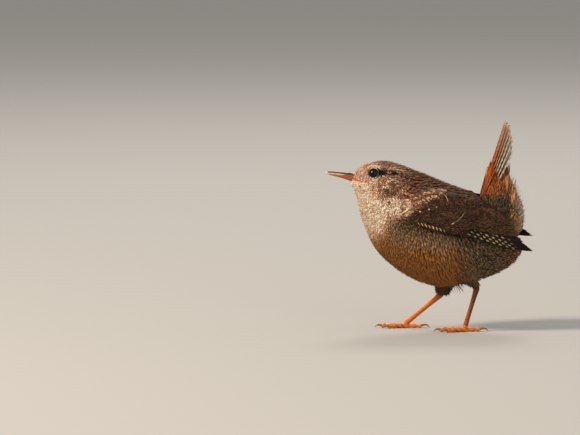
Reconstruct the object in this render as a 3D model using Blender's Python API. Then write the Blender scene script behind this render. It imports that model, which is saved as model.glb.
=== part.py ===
"""A wren, life size and still: standing on the floor with its tail cocked, head towards -X, left side towards -Y.

Lengths below are in millimetres and are turned to metres where a mesh is made.
The body is one lofted form, parted by thin cuts into head, neck and torso. Feathers that show from a step away are
overlapping vanes, fused to the wing or the tail that carries them.
"""

import math

import bmesh
import bpy
import numpy as np

MM = 0.001
GAP = 0.3  # clearance between two nodes that touch

# The body, bill to vent. Each row is one cross-section: the place of its highest point (x, z) and of its lowest point
# (x, z), its half width, and how far its widest level sits above the middle (1 is the middle, more is higher).
BODY = np.array([
    (-35.9, 62.3, -37.1, 58.5, 1.9, 1.00),
    (-34.2, 63.9, -36.3, 56.6, 3.7, 1.05),
    (-31.6, 65.4, -35.2, 54.2, 5.4, 1.10),
    (-28.9, 66.3, -34.3, 51.4, 6.7, 1.12),
    (-25.5, 67.0, -33.8, 48.2, 7.6, 1.15),
    (-21.7, 66.8, -32.9, 44.7, 8.6, 1.15),
    (-17.2, 65.5, -31.3, 40.3, 10.1, 1.10),
    (-12.4, 63.6, -29.2, 35.3, 12.1, 1.05),
    (-7.5, 61.8, -26.3, 30.8, 14.2, 1.00),
    (-2.2, 59.5, -22.1, 26.6, 16.0, 1.00),
    (2.8, 57.5, -16.6, 22.5, 17.2, 1.00),
    (7.5, 55.8, -9.7, 19.1, 17.8, 1.00),
    (11.7, 53.8, -2.0, 17.4, 17.7, 1.00),
    (15.2, 51.4, 6.3, 18.4, 16.8, 1.00),
    (18.2, 48.9, 14.2, 20.5, 15.0, 1.00),
    (21.0, 46.1, 21.0, 23.3, 12.2, 1.00),
    (23.7, 42.8, 26.0, 26.7, 8.8, 1.00),
    (26.3, 38.8, 28.9, 30.2, 5.0, 1.00),
    (28.4, 35.2, 28.9, 34.0, 0.8, 1.00),
])
HEAD_END, NECK_END = 5.2, 7.2  # where the cuts lie, in rows
BODY_END = len(BODY) - 1

# What the folded wing lies on: the body as far as the rump, then its lines carried on to the wing's tip.
WING_BED = np.vstack([BODY[4:14], [
    (18.6, 50.4, 14.0, 19.6, 16.5, 1.0),
    (22.4, 48.8, 20.6, 22.0, 15.9, 1.0),
    (26.4, 46.6, 26.4, 24.0, 14.9, 1.0),
    (30.4, 44.0, 31.4, 25.6, 13.5, 1.0),
    (34.6, 41.2, 36.0, 27.0, 11.9, 1.0),
    (39.0, 38.4, 40.0, 28.0, 10.2, 1.0),
]])

# The folded left wing in side view, x and z: lines that carry the roots and the tips of each tier. The right wing is
# held a little higher, turned about its wrist.
WRIST = np.array((-17.5, 48.0))
RIGHT_WING_TURN = 3.6
WING_PAD_UPPER = np.array([(-17.5, 48.2), (-13.0, 51.2), (-6.0, 53.0), (2.0, 52.4), (8.0, 50.4), (13.0, 47.2)])
WING_PAD_LOWER = np.array([(-17.5, 47.8), (-13.5, 45.0), (-8.5, 42.6), (-1.0, 40.8), (6.0, 38.8), (13.0, 37.6)])
PRIMARY_ROOTS = np.array([(-4.0, 42.4), (0.0, 44.0)])
PRIMARY_TIPS = np.array([(25.0, 35.8), (34.0, 33.3), (28.5, 38.4)])
SECONDARY_ROOTS = np.array([(0.0, 43.4), (3.0, 50.6)])
SECONDARY_TIPS = np.array([(25.8, 37.0), (24.8, 41.0), (19.0, 46.6)])
GREATER_ROOTS = np.array([(-10.0, 44.4), (-4.0, 51.3)])
GREATER_TIPS = np.array([(0.6, 41.6), (6.0, 44.6), (8.4, 50.0)])
MEDIAN_ROOTS = np.array([(-15.0, 46.6), (-10.0, 51.2)])
MEDIAN_TIPS = np.array([(-7.5, 44.6), (-3.6, 47.8), (-1.6, 52.4)])
PRIMARIES, SECONDARIES, GREATERS, MEDIANS = 7, 6, 6, 5

# Eyes
EYE_RADIUS = 2.45
EYE_PLACE = (-28.3, 62.7)  # x, z of the middle of its opening
EYE_SHOWS = 0.85  # how far the ball stands out of the cheek
LID_RADII = (2.25, 2.0)  # of the ring of the lids, along the head and up it
LID_LIFT = 1.8  # from the ball's centre to the ring
LID_THICKNESS = (0.42, 0.6)  # of the ring, across and outwards

# Bill, from the base to the tip: the ridge, the mouth line and the keel in side view (x, z)
CULMEN = np.array([(-36.25, 62.3), (-39.5, 62.7), (-43.4, 62.98), (-45.6, 62.95), (-46.9, 62.55)])
MOUTH = np.array([(-36.95, 60.8), (-39.8, 61.35), (-43.4, 61.85), (-45.5, 62.05), (-46.9, 62.1)])
KEEL = np.array([(-37.5, 59.1), (-40.3, 60.1), (-43.2, 60.9), (-45.3, 61.45), (-46.5, 61.85)])
BILL_HALF_WIDTH = np.array([(1.95,), (1.55,), (1.1,), (0.65,), (0.26,)])
MOUTH_GAP = 0.2
NOSTRIL_PLACE = (-38.1, 1.15, 61.75)
NOSTRIL_SIZE = (0.75, 0.35, 0.22)
GAPE_CORNER = (-32.2, 59.4)  # x, z where the mouth line ends on the cheek

# Legs: joints as (x, y, z). The left leg is upright, the right one reaches forward.
LEFT_LEG = {"knee": (5.0, -8.6, 27.0), "heel": (12.6, -8.4, 17.9), "ankle": (7.9, -7.4, 2.0)}
RIGHT_LEG = {"knee": (1.0, 8.2, 24.5),"heel": (-0.9, 8.2, 13.6), "ankle": (-15.0, 8.0, 2.0)}
SHANK_RADII = (5.4, 5.3, 4.9, 4.1, 2.3)  # the feathered shank, from knee to heel
SHANK_ENDS = 1.5  # how far above the heel its feathers end
TARSUS_HALF_WIDTH, TARSUS_HALF_DEPTH = 0.72, 0.92
TOE_RADIUS = 0.78
TOE_LIFT = 0.55  # height of a toe's axis, so that its sole is cut flat by the floor
# Toes: name, how far it turns from straight ahead in degrees, length, claw length
TOES = (("inner", 25.0, 7.4, 2.6), ("middle", 2.0, 9.6, 2.8), ("outer", -23.0, 7.9, 2.6), ("hind", 178.0, 5.6, 3.6))
LEFT_FOOT_HEADING = 186.0  # degrees from +X, looking down
RIGHT_FOOT_HEADING = 176.0

# Tail: cocked up, leaning back by this much from upright
TAIL_LEAN = 18.5
TAIL_ROOT = (12.7, 50.0)  # x, z of the middle of its base
TAIL_PAIRS = 6
RECTRIX_LENGTH, RECTRIX_STEP = 34.6, 0.95  # the longest, and how much shorter each pair gets
RECTRIX_WIDTH = 3.9
TAIL_ROOF = 3.6  # how far the outermost pair lies behind the ridge of the fan
TAIL_SPREAD = 6.4  # how far the outermost tips lie from the middle

COLOURS = {
    "plumage_upper": (0.30, 0.15, 0.07, 1.0),
    "plumage_lower": (0.55, 0.36, 0.20, 1.0),
    "wing": (0.22, 0.12, 0.06, 1.0),
    "tail": (0.42, 0.18, 0.06, 1.0),
    "bill": (0.42, 0.24, 0.10, 1.0),
    "leg": (0.56, 0.25, 0.11, 1.0),
    "claw": (0.35, 0.24, 0.16, 1.0),
    "eye": (0.010, 0.008, 0.007, 1.0),
}
ROUGHNESS = {"eye": 0.05, "bill": 0.35, "leg": 0.45, "claw": 0.35}


def clear_scene():
    for thing in list(bpy.data.objects):
        bpy.data.objects.remove(thing)


def material(name):
    """One Principled material for each finish, made the first time it is asked for."""
    found = bpy.data.materials.get(name)
    if found:
        return found
    made = bpy.data.materials.new(name)
    made.use_nodes = True
    shader = made.node_tree.nodes["Principled BSDF"]
    shader.inputs["Base Color"].default_value = COLOURS[name]
    shader.inputs["Roughness"].default_value = ROUGHNESS.get(name, 0.8)
    return made


def spline(rows, s):
    """Catmull-Rom curve through the rows, with s counted in rows."""
    rows = np.asarray(rows, float)
    s = np.clip(np.asarray(s, float), 0, len(rows) - 1)
    i = np.minimum(s.astype(int), len(rows) - 2)
    f = (s - i)[..., None]
    padded = np.vstack([2 * rows[0] - rows[1], rows, 2 * rows[-1] - rows[-2]])
    a, b, c, d = padded[i], padded[i + 1], padded[i + 2], padded[i + 3]
    return 0.5 * (2 * b + (c - a) * f + (2 * a - 5 * b + 4 * c - d) * f**2 + (3 * b - a - 3 * c + d) * f**3)


def section_points(rows, s, angle, grow=0.0):
    """Points of a lofted form. angle is 0 at the top of a section, and runs down the left side to pi at the bottom."""
    row = spline(rows, s)
    top, bottom = row[..., 0:2], row[..., 2:4]
    down = bottom - top
    length = np.linalg.norm(down, axis=-1, keepdims=True)
    down = down / length
    share = ((1 - np.cos(angle)) / 2)[..., None] ** row[..., 5:6]
    flat = top + down * (share * (length + 2 * grow) - grow)
    across = -(row[..., 4] + grow) * np.sin(angle)
    return np.stack([flat[..., 0], across, flat[..., 1]], axis=-1)


def half_width(rows, x, z):
    """How far a lofted form reaches from the middle plane at the side-view points x, z, and 0 outside its outline."""
    steps = np.linspace(0, len(rows) - 1, 260)
    row = spline(rows, steps)
    top, down = row[:, 0:2], row[:, 2:4] - row[:, 0:2]
    point = np.stack([x, z], axis=-1)[..., None, :] - top
    side = point[..., 0] * down[:, 1] - point[..., 1] * down[:, 0]
    first = np.argmax(np.diff(np.sign(side), axis=-1) != 0, axis=-1)
    before = np.take_along_axis(side, first[..., None], -1)[..., 0]
    after = np.take_along_axis(side, first[..., None] + 1, -1)[..., 0]
    s = steps[first] + (steps[1] - steps[0]) * before / np.where(before == after, 1, before - after)
    at = spline(rows, s)
    down = at[..., 2:4] - at[..., 0:2]
    share = ((np.stack([x, z], -1) - at[..., 0:2]) * down).sum(-1) / (down**2).sum(-1)
    share = np.clip(share, 0, 1) ** (1 / at[..., 5])
    return at[..., 4] * 2 * np.sqrt(np.clip(share * (1 - share), 0, None))


def add_mesh(name, points, faces, finish):
    """A mesh object from points in millimetres, with its faces turned outwards."""
    mesh = bpy.data.meshes.new(name)
    mesh.from_pydata((np.asarray(points) * MM).tolist(), [], faces)
    shape = bmesh.new()
    shape.from_mesh(mesh)
    bmesh.ops.triangulate(shape, faces=shape.faces[:])
    if shape.calc_volume(signed=True) < 0:
        bmesh.ops.reverse_faces(shape, faces=shape.faces[:])
    shape.to_mesh(mesh)
    shape.free()
    mesh.materials.append(material(finish))
    made = bpy.data.objects.new(name, mesh)
    bpy.context.scene.collection.objects.link(made)
    return made


def ring_faces(rings, around):
    """Quads between closed rings, and a fan over each end from the two centre points that follow the rings."""
    faces = []
    for i in range(rings - 1):
        for j in range(around):
            k = (j + 1) % around
            faces.append((i * around + j, i * around + k, (i + 1) * around + k, (i + 1) * around + j))
    first, last = rings * around, rings * around + 1
    for j in range(around):
        k = (j + 1) % around
        faces.append((k, j, first))
        faces.append(((rings - 1) * around + j, (rings - 1) * around + k, last))
    return faces


def add_rings(name, rings, finish):
    """A closed solid through a stack of rings, an array of (rings, points, 3)."""
    count, around = rings.shape[:2]
    points = np.vstack([rings.reshape(-1, 3), rings[0].mean(0), rings[-1].mean(0)])
    return add_mesh(name, points, ring_faces(count, around), finish)


def add_loft(name, rows, start, end, steps, around, finish, grow=0.0):
    """The stretch of a lofted form from one row to another."""
    s, angle = np.meshgrid(
        np.linspace(start, end, steps), np.arange(around) * 2 * math.pi / around, indexing="ij"
    )
    return add_rings(name, section_points(rows, s, angle, grow), finish)


def add_tube(name, path, radii, finish, around=10, floor=None):
    """A tube along a path of (x, y, z), with an elliptic section (radius across, radius in depth) at each point."""
    path, radii = np.asarray(path, float), np.asarray(radii, float)
    if radii.ndim == 1:
        radii = np.stack([radii, radii], -1)
    along = np.gradient(path, axis=0)
    along /= np.linalg.norm(along, axis=1, keepdims=True)
    across = np.cross(along, (0.0, 0.0, 1.0))
    flat = np.linalg.norm(across, axis=1, keepdims=True)
    across = np.where(flat < 0.2, np.array([[0.0, 1.0, 0.0]]), across / np.maximum(flat, 1e-9))
    across -= along * (across * along).sum(1, keepdims=True)
    across /= np.linalg.norm(across, axis=1, keepdims=True)
    depth = np.cross(along, across)
    turn = (np.arange(around) + 0.5) * 2 * math.pi / around
    rings = (
        path[:, None]
        + across[:, None] * (np.cos(turn)[None, :, None] * radii[:, None, 0:1])
        + depth[:, None] * (np.sin(turn)[None, :, None] * radii[:, None, 1:2])
    )
    if floor is not None:
        rings[..., 2] = np.maximum(rings[..., 2], floor)
    return add_rings(name, rings, finish)


def add_ellipsoid(name, centre, sizes, finish, around=20, turn=0.0):
    """An ellipsoid of half lengths sizes, tipped by turn radians about Y."""
    polar, angle = np.meshgrid(
        np.linspace(0.06, math.pi - 0.06, around // 2 + 1),
        np.arange(around) * 2 * math.pi / around,
        indexing="ij",
    )
    unit = np.stack([np.cos(polar), np.sin(polar) * np.cos(angle), np.sin(polar) * np.sin(angle)], -1)
    shaped = unit * np.asarray(sizes)
    c, s = math.cos(turn), math.sin(turn)
    turned = np.stack([shaped[..., 0] * c - shaped[..., 2] * s, shaped[..., 1],
                       shaped[..., 0] * s + shaped[..., 2] * c], -1)
    return add_rings(name, turned + np.asarray(centre), finish)


def keep_largest(thing):
    """Keeps the largest closed surface of a mesh, so that no sealed hollow and no loose scrap is left."""
    shape = bmesh.new()
    shape.from_mesh(thing.data)
    left, islands = set(shape.verts), []
    while left:
        reached, edge = set(), [left.pop()]
        while edge:
            here = edge.pop()
            reached.add(here)
            for link in here.link_edges:
                other = link.other_vert(here)
                if other in left:
                    left.remove(other)
                    edge.append(other)
        islands.append(reached)
    best = max(islands, key=lambda island: spread_of(island))
    bmesh.ops.delete(shape, geom=[v for island in islands if island is not best for v in island])
    shape.to_mesh(thing.data)
    shape.free()


def spread_of(vertices):
    """The diagonal of the box round some vertices."""
    places = np.array([v.co for v in vertices])
    return float(np.linalg.norm(places.max(0) - places.min(0)))


def apply_boolean(thing, others, operation, solver="EXACT"):
    """Joins the others to thing, or cuts them from it, and removes them. Dozens of vanes that cross each other are
    joined with the MANIFOLD solver, because the exact one leaves openings between them."""
    group = bpy.data.collections.new(thing.name + "_tools")
    bpy.context.scene.collection.children.link(group)
    for other in others:
        bpy.context.scene.collection.objects.unlink(other)
        group.objects.link(other)
    change = thing.modifiers.new(operation, "BOOLEAN")
    change.operation, change.operand_type, change.collection = operation, "COLLECTION", group
    change.solver = solver
    graph = bpy.context.evaluated_depsgraph_get()
    made = bpy.data.meshes.new_from_object(thing.evaluated_get(graph))
    thing.modifiers.clear()
    thing.data = made
    for other in list(group.objects):
        bpy.data.objects.remove(other)
    bpy.data.collections.remove(group)
    keep_largest(thing)


def vane_points(length, width, thickness, stations, shape):
    """A flat vane along +u: for each station, its place along the length and its half width."""
    share = np.linspace(0, 1, stations)
    return share * length, width / 2 * np.interp(share, *shape), np.full(stations, thickness / 2)


BLUNT = ((0.0, 0.25, 0.55, 0.85, 1.0), (0.45, 0.85, 1.0, 0.82, 0.26))
POINTED = ((0.0, 0.3, 0.6, 0.85, 1.0), (0.5, 0.95, 0.9, 0.5, 0.14))


def add_vane(name, place, root, tip, width, heights, finish, tilt=0.0, bend=0.0, shape=BLUNT, stations=6, thick=0.55):
    """A closed thin vane on a sheet. place(u, v, h) gives points at height h over the sheet's (u, v). The vane runs
    from root to tip, both (u, v), bows sideways by bend, climbs from heights[0] to heights[1], and its edges tilt."""
    root, tip = np.asarray(root, float), np.asarray(tip, float)
    run = tip - root
    length = np.linalg.norm(run)
    ahead = run / length
    aside = np.array([-ahead[1], ahead[0]])
    along, half, _ = vane_points(length, width, thick, stations, shape)
    share = along / length
    centre = root + ahead * along[:, None] + aside * (bend * np.sin(math.pi * share))[:, None]
    height = heights[0] + (heights[1] - heights[0]) * share
    rings = []
    for across, side in ((-1, -0.5), (0, -0.5), (1, -0.5), (1, 0.5), (0, 0.5), (-1, 0.5)):
        uv = centre + aside * (half * across)[:, None]
        rings.append(place(uv[:, 0], uv[:, 1], height + tilt * across + side * thick))
    return add_rings(name, np.stack(rings, axis=1), finish)


def bed_reach(x, z):
    """How far the wing's bed reaches sideways. It keeps the wing tips clear of the tail's base between them."""
    return np.maximum(half_width(WING_BED, x, z), np.interp(x, (7.0, 13.5, 28.5, 34.0), (0.0, 8.5, 8.5, 0.0)))


def wing_place(side):
    """The wing's sheet: u, v are side-view x, z, draped over the bed. side is -1 on the left and 1 on the right."""
    turn = math.radians(RIGHT_WING_TURN if side > 0 else 0.0)

    def place(x, z, h):
        x, z, h = (np.asarray(value, float) for value in np.broadcast_arrays(x, z, h))
        across, up = x - WRIST[0], z - WRIST[1]
        x = WRIST[0] + across * math.cos(turn) - up * math.sin(turn)
        z = WRIST[1] + across * math.sin(turn) + up * math.cos(turn)
        small = 0.4
        reach = bed_reach(x, z)
        slope_x = (bed_reach(x + small, z) - bed_reach(x - small, z)) / (2 * small)
        slope_z = (bed_reach(x, z + small) - bed_reach(x, z - small)) / (2 * small)
        slope_x, slope_z = np.clip(slope_x, -1.6, 1.6), np.clip(slope_z, -1.6, 1.6)
        norm = np.sqrt(1 + slope_x**2 + slope_z**2)
        return np.stack([x - slope_x / norm * h, side * (reach + h / norm), z - slope_z / norm * h], -1)
    return place


def add_wing_pad(name, place, finish):
    """The wing's arm and the coverts' shared base: a lens-shaped pad between its upper and lower edge."""
    steps, around, thickness = 11, 12, 1.0
    rings = []
    for share in np.linspace(0.03, 0.97, steps):
        upper = spline(WING_PAD_UPPER, share * (len(WING_PAD_UPPER) - 1))
        lower = spline(WING_PAD_LOWER, share * (len(WING_PAD_LOWER) - 1))
        full = math.sin(math.pi * share) ** 0.5
        turn = (np.arange(around) + 0.5) * 2 * math.pi / around
        level = 0.5 + 0.5 * np.cos(turn)
        bulge = np.where(np.sin(turn) > 0, np.sin(turn) * thickness * full, 0.0)
        middle = lower + (upper - lower) * level[:, None]
        rings.append(place(middle[:, 0], middle[:, 1], GAP + 0.12 + bulge + 0.25 * (np.sin(turn) > 0)))
    return add_rings(name, np.array(rings), finish)


def add_tier(name, place, roots, tips, count, width, heights, tilt, finish, **more):
    """A row of overlapping vanes whose roots and tips are spaced along two lines."""
    made = []
    for i in range(count):
        share = i / (count - 1)
        root = spline(roots, share * (len(roots) - 1))
        tip = spline(tips, share * (len(tips) - 1))
        made.append(add_vane(f"{name}_{i}", place, root, tip, width, heights, finish, tilt=tilt, **more))
    return made


def add_wing(side, name):
    """A folded wing: its pad, then the tiers of vanes from the quills that lie lowest to the coverts on top."""
    place = wing_place(side)
    wing = add_wing_pad(name, place, "wing")
    pieces = add_tier(name + "_primary", place, PRIMARY_ROOTS, PRIMARY_TIPS, PRIMARIES, 4.0, (0.75, 0.7), 0.2,
                      "wing", shape=POINTED)
    pieces += add_tier(name + "_secondary", place, SECONDARY_ROOTS, SECONDARY_TIPS, SECONDARIES, 4.4, (0.95, 1.55),
                       0.24, "wing")
    pieces += add_tier(name + "_greater", place, GREATER_ROOTS, GREATER_TIPS, GREATERS, 3.6, (1.0, 2.55), 0.24, "wing",
                       stations=5)
    pieces += add_tier(name + "_median", place, MEDIAN_ROOTS, MEDIAN_TIPS, MEDIANS, 3.3, (0.9, 3.3), 0.24, "wing",
                       stations=5)
    apply_boolean(wing, pieces, "UNION", "MANIFOLD")
    return wing


def tail_place(u, v, h):
    """The tail's roof-shaped sheet: u runs up the tail from its root, v across it, and h towards the bird's head."""
    u, v, h = (np.asarray(value, float) for value in np.broadcast_arrays(u, v, h))
    lean = math.radians(TAIL_LEAN)
    up, back = np.array([math.sin(lean), math.cos(lean)]), np.array([math.cos(lean), -math.sin(lean)])
    drop = TAIL_ROOF * (np.abs(v) / TAIL_SPREAD) ** 1.4
    flat = np.asarray(TAIL_ROOT) + up * u[..., None] + back * (drop - h)[..., None]
    return np.stack([flat[..., 0], v, flat[..., 1]], -1)


def add_tail_core():
    """The rump's end and the stem of the tail, from inside the body's line up to where the quills fan out."""
    rows = np.array([
        (15.0, 44.0, 27.2, 35.2, 7.9, 1.0),
        (14.2, 49.0, 30.4, 41.0, 7.9, 1.0),
        (14.4, 53.6, 30.6, 48.0, 7.1, 1.0),
        (15.5, 57.8, 27.8, 55.0, 5.7, 1.0),
        (17.2, 61.6, 25.4, 60.2, 4.2, 1.0),
        (19.4, 65.0, 22.4, 64.4, 2.0, 1.0),
    ])
    return add_loft("tail", rows, 0, len(rows) - 1, 11, 20, "tail")


def add_tail():
    """The tail: its stem, six pairs of quills in a roof-shaped fan, and the coverts over and under their roots."""
    tail = add_tail_core()
    pieces = []
    for side in (-1, 1):
        for pair in range(TAIL_PAIRS):
            share = (pair + 0.35) / (TAIL_PAIRS - 0.65)
            root = (6.0, side * (0.5 + 1.9 * share))
            tip = (RECTRIX_LENGTH - RECTRIX_STEP * pair * (1 + 0.35 * pair / TAIL_PAIRS),
                   side * (0.5 + (TAIL_SPREAD - 0.6) * share))
            level = -0.45 * pair
            pieces.append(add_vane(f"rectrix_{side}_{pair}", tail_place, root, tip, RECTRIX_WIDTH,
                                   (level - 0.2, level), "tail", tilt=-0.16 * side))
    for i in range(5):
        v = (i - 2) * 1.9
        pieces.append(add_vane(f"upper_covert_{i}", tail_place, (3.0, 0.7 * v), (15.5 - 0.45 * abs(v), v), 3.8,
                               (0.0, 0.95), "tail", stations=5))
    for row, (low, high, out) in enumerate(((1.0, 12.5, 9.0), (6.0, 18.5, 5.4))):
        for i in range(5):
            v = (i - 2) * (2.1 - 0.4 * row)
            pieces.append(add_vane(f"under_covert_{row}_{i}", tail_place, (low, 0.8 * v), (high - abs(v) * 0.4, v),
                                   3.8, (-out - 1.6, -out + 1.2), "tail", stations=5))
    apply_boolean(tail, pieces, "UNION", "MANIFOLD")
    cutter = add_loft("torso_room", BODY, NECK_END, BODY_END, 30, 32, "tail", grow=GAP + 0.05)
    apply_boolean(tail, [cutter], "DIFFERENCE")
    return tail


def add_head():
    """The head with a socket and lids round each eye, and the mouth line running on to the cheek."""
    head = add_loft("head", BODY, 0.02, HEAD_END, 14, 32, "plumage_upper")
    lids, sockets = [], []
    for side, name in ((-1, "left"), (1, "right")):
        centre, outward = eye_centre(side), eye_outward(side)
        turn = np.arange(20) * 2 * math.pi / 20
        first = np.cross((0.0, 0.0, 1.0), outward)
        first /= np.linalg.norm(first)
        second = np.cross(outward, first)
        loops = []
        for bead in np.arange(6) * 2 * math.pi / 6:
            widen = LID_THICKNESS[0] * math.cos(bead)
            lift = outward * (LID_LIFT + LID_THICKNESS[1] * math.sin(bead))
            loops.append(centre + lift + first * ((LID_RADII[0] + widen) * np.cos(turn))[:, None]
                         + second * ((LID_RADII[1] + widen) * np.sin(turn))[:, None])
        lids.append(add_torus(f"lids_{name}", np.array(loops), "plumage_upper"))
        sockets.append(add_ellipsoid(f"socket_{name}", centre, (EYE_RADIUS + GAP,) * 3, "plumage_upper", 18))
    apply_boolean(head, lids, "UNION")
    corner_x, corner_z = GAPE_CORNER
    start_x, start_z = MOUTH[0]
    middle = ((corner_x + start_x - 1.4) / 2, 0.0, (corner_z + start_z) / 2)
    turn = math.atan2(corner_z - start_z, corner_x - start_x)
    mouth = add_ellipsoid("mouth_line", middle, ((corner_x - start_x + 1.4) / 2, 9.0, MOUTH_GAP / 2), "plumage_upper",
                          20, turn)
    apply_boolean(head, sockets, "DIFFERENCE")
    apply_boolean(head, [mouth], "DIFFERENCE")
    return head


def add_torus(name, loops, finish):
    """A closed ring of loops, each a circle of points, joined end to end."""
    count, around = loops.shape[:2]
    faces = [
        (i * around + j, i * around + (j + 1) % around,
         (i + 1) % count * around + (j + 1) % around, (i + 1) % count * around + j)
        for i in range(count) for j in range(around)
    ]
    return add_mesh(name, loops.reshape(-1, 3), faces, finish)


def eye_centre(side):
    reach = float(half_width(BODY, np.array(EYE_PLACE[0]), np.array(EYE_PLACE[1])))
    return np.array([EYE_PLACE[0], side * reach, EYE_PLACE[1]]) + eye_outward(side) * (EYE_SHOWS - EYE_RADIUS)


def eye_outward(side):
    """The way the eye looks: out to the side, a little forwards and up, as the cheek there faces."""
    way = np.array([-0.22, side * 1.0, 0.26])
    return way / np.linalg.norm(way)


def add_eye(side, name):
    return add_ellipsoid(name, eye_centre(side), (EYE_RADIUS,) * 3, "eye", 18)


def add_bill():
    """The two halves of the bill, each flat along the mouth and round outside, with a nostril slit on each side."""
    steps = np.linspace(0, len(CULMEN) - 1, 11)
    turn = np.linspace(0, math.pi, 9)
    ridge, mouth, keel = spline(CULMEN, steps), spline(MOUTH, steps), spline(KEEL, steps)
    width = spline(BILL_HALF_WIDTH, steps)[:, 0]
    halves = []
    for name, edge, lift in (("bill_upper", ridge, MOUTH_GAP / 2), ("bill_lower", keel, -MOUTH_GAP / 2)):
        base = mouth + np.array([0.0, 1.0]) * lift
        rings = base[:, None] + (edge - base)[:, None] * (np.sin(turn) ** 0.8)[None, :, None]
        across = width[:, None] * np.cos(turn)[None, :] * (1.0 if name == "bill_upper" else 0.93)
        shape = np.stack([rings[..., 0], across, rings[..., 1]], -1)
        halves.append(add_rings(name, shape, "bill"))
    slits = [
        add_ellipsoid(f"nostril_{side}", (NOSTRIL_PLACE[0], side * NOSTRIL_PLACE[1], NOSTRIL_PLACE[2]),
                      NOSTRIL_SIZE, "bill", 12, -0.12)
        for side in (-1, 1)
    ]
    apply_boolean(halves[0], slits, "DIFFERENCE")
    return halves


def add_leg(leg, side, heading, label):
    """One leg: the feathered shank, the bare tarsus, the foot with its four toes, and four claws."""
    knee, heel, ankle = (np.array(leg[joint], float) for joint in ("knee", "heel", "ankle"))
    thigh = (heel - knee) / np.linalg.norm(heel - knee)
    shin = (ankle - heel) / np.linalg.norm(ankle - heel)
    end = heel - thigh * SHANK_ENDS
    share = np.linspace(0, 1, 9)
    radii = spline(np.array(SHANK_RADII)[:, None], share * (len(SHANK_RADII) - 1))[:, 0]
    shank = add_tube(f"shank_{label}", knee + (end - knee) * share[:, None], radii, "plumage_lower", 16)
    cutter = add_loft("torso_room", BODY, NECK_END, BODY_END, 30, 32, "plumage_lower", grow=GAP + 0.05)
    apply_boolean(shank, [cutter], "DIFFERENCE")
    bottom = ankle - shin * 0.9
    start = end + thigh * GAP
    bend = heel + shin * 1.6
    turn = np.linspace(0, 1, 5)[:, None]
    curve = start * (1 - turn) ** 2 + heel * 2 * turn * (1 - turn) + bend * turn**2
    shaft = bend + (bottom - bend) * np.array([0.12, 0.3, 0.7, 0.9, 1.0])[:, None]
    thick = np.array([1.2, 1.36, 1.42, 1.38, 1.25, 1.08, 0.96, 0.96, 1.06, 1.12])
    radii = np.stack([TARSUS_HALF_WIDTH * thick, TARSUS_HALF_DEPTH * thick], -1)
    add_tube(f"tarsus_{label}", np.vstack([curve, shaft]), radii, "leg", 12)
    add_foot(ankle, bottom + shin * GAP, side, heading, label)


def add_foot(ankle, top, side, heading, label):
    """Four toes from one palm, with flat soles on the floor, and a claw of its own beyond each toe's end."""
    palm = add_tube(f"foot_{label}", spline(np.array([top, ankle, (ankle[0], ankle[1], 0.35)]), np.linspace(0, 2, 6)),
                    np.array([0.86, 0.9, 0.96, 1.04, 1.06, 0.8]), "leg", 12)
    toes = []
    for toe, turn, length, claw in TOES:
        way = math.radians(heading + side * turn)
        ahead = np.array([math.cos(way), math.sin(way), 0.0])
        start = np.array([ankle[0], ankle[1], TOE_LIFT])
        share = np.linspace(0, 1, 8)
        knuckles = 1.0 + 0.14 * np.cos(share * (3 if toe != "hind" else 2) * 2 * math.pi)
        arch = 0.62 * np.sin(math.pi * share) * (0.5 if toe != "hind" else 0.3)
        path = start + ahead * (share * length)[:, None]
        path[:, 2] += arch * (share > 0.0)
        radius = TOE_RADIUS * (1.08 - 0.3 * share) * knuckles
        toes.append(add_tube(f"toe_{toe}_{label}", path, radius, "leg", 8))
        add_claw(f"claw_{toe}_{label}", start + ahead * (length + GAP), ahead, claw)
    apply_boolean(palm, toes, "UNION")
    low = np.array([(x, y, z) for z in (-6.0, 0.0) for x, y in ((-60, -40), (60, -40), (60, 40), (-60, 40))], float)
    below = add_mesh(f"floor_{label}", low, [(3, 2, 1, 0), (4, 5, 6, 7), (0, 1, 5, 4), (1, 2, 6, 5), (2, 3, 7, 6),
                                             (3, 0, 4, 7)], "leg")
    apply_boolean(palm, [below], "DIFFERENCE")


def add_claw(name, root, ahead, length):
    """A curved claw that arches a little and comes down to just above the floor."""
    share = np.linspace(0, 1, 8)
    bow = 1.15 * share
    path = root + ahead * (np.sin(bow) / math.sin(1.15) * length * 0.92)[:, None]
    path[:, 2] = TOE_LIFT + 0.12 + length * 0.16 * np.sin(math.pi * share) ** 0.9 - 0.5 * share**1.6
    return add_tube(name, path, 0.47 * (1.05 - share) ** 0.75, "claw", 8, floor=0.02)


def centre_on_floor():
    """Moves everything so that the middle of the box round it stands over the origin."""
    corners = []
    for thing in bpy.context.scene.objects:
        corners += [vertex.co[:2] for vertex in thing.data.vertices]
    corners = np.array(corners)
    middle = (corners.max(0) + corners.min(0)) / 2
    for thing in bpy.context.scene.objects:
        for vertex in thing.data.vertices:
            vertex.co.x -= middle[0]
            vertex.co.y -= middle[1]


def smooth_all():
    for thing in bpy.context.scene.objects:
        thing.data.shade_smooth()
        thing.data.set_sharp_from_angle(angle=math.radians(35))


def main():
    clear_scene()
    add_head()
    add_loft("neck", BODY, HEAD_END + 0.14, NECK_END, 5, 28, "plumage_upper")
    add_loft("torso", BODY, NECK_END + 0.12, BODY_END, 19, 30, "plumage_lower")
    add_eye(-1, "eye_left")
    add_eye(1, "eye_right")
    add_bill()
    add_wing(-1, "wing_left")
    add_wing(1, "wing_right")
    add_tail()
    add_leg(LEFT_LEG, -1, LEFT_FOOT_HEADING, "left")
    add_leg(RIGHT_LEG, 1, RIGHT_FOOT_HEADING, "right")
    centre_on_floor()
    smooth_all()


main()
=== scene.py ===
"""The looks of a life-size still model of a wren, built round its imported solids.

Design coordinates are millimetres: the bird faces -X, its left side is -Y, and the floor is z = 0. to_row() moves them
into the frame of the solids. Every piece is a surface worked out as whole arrays."""

import math

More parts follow.
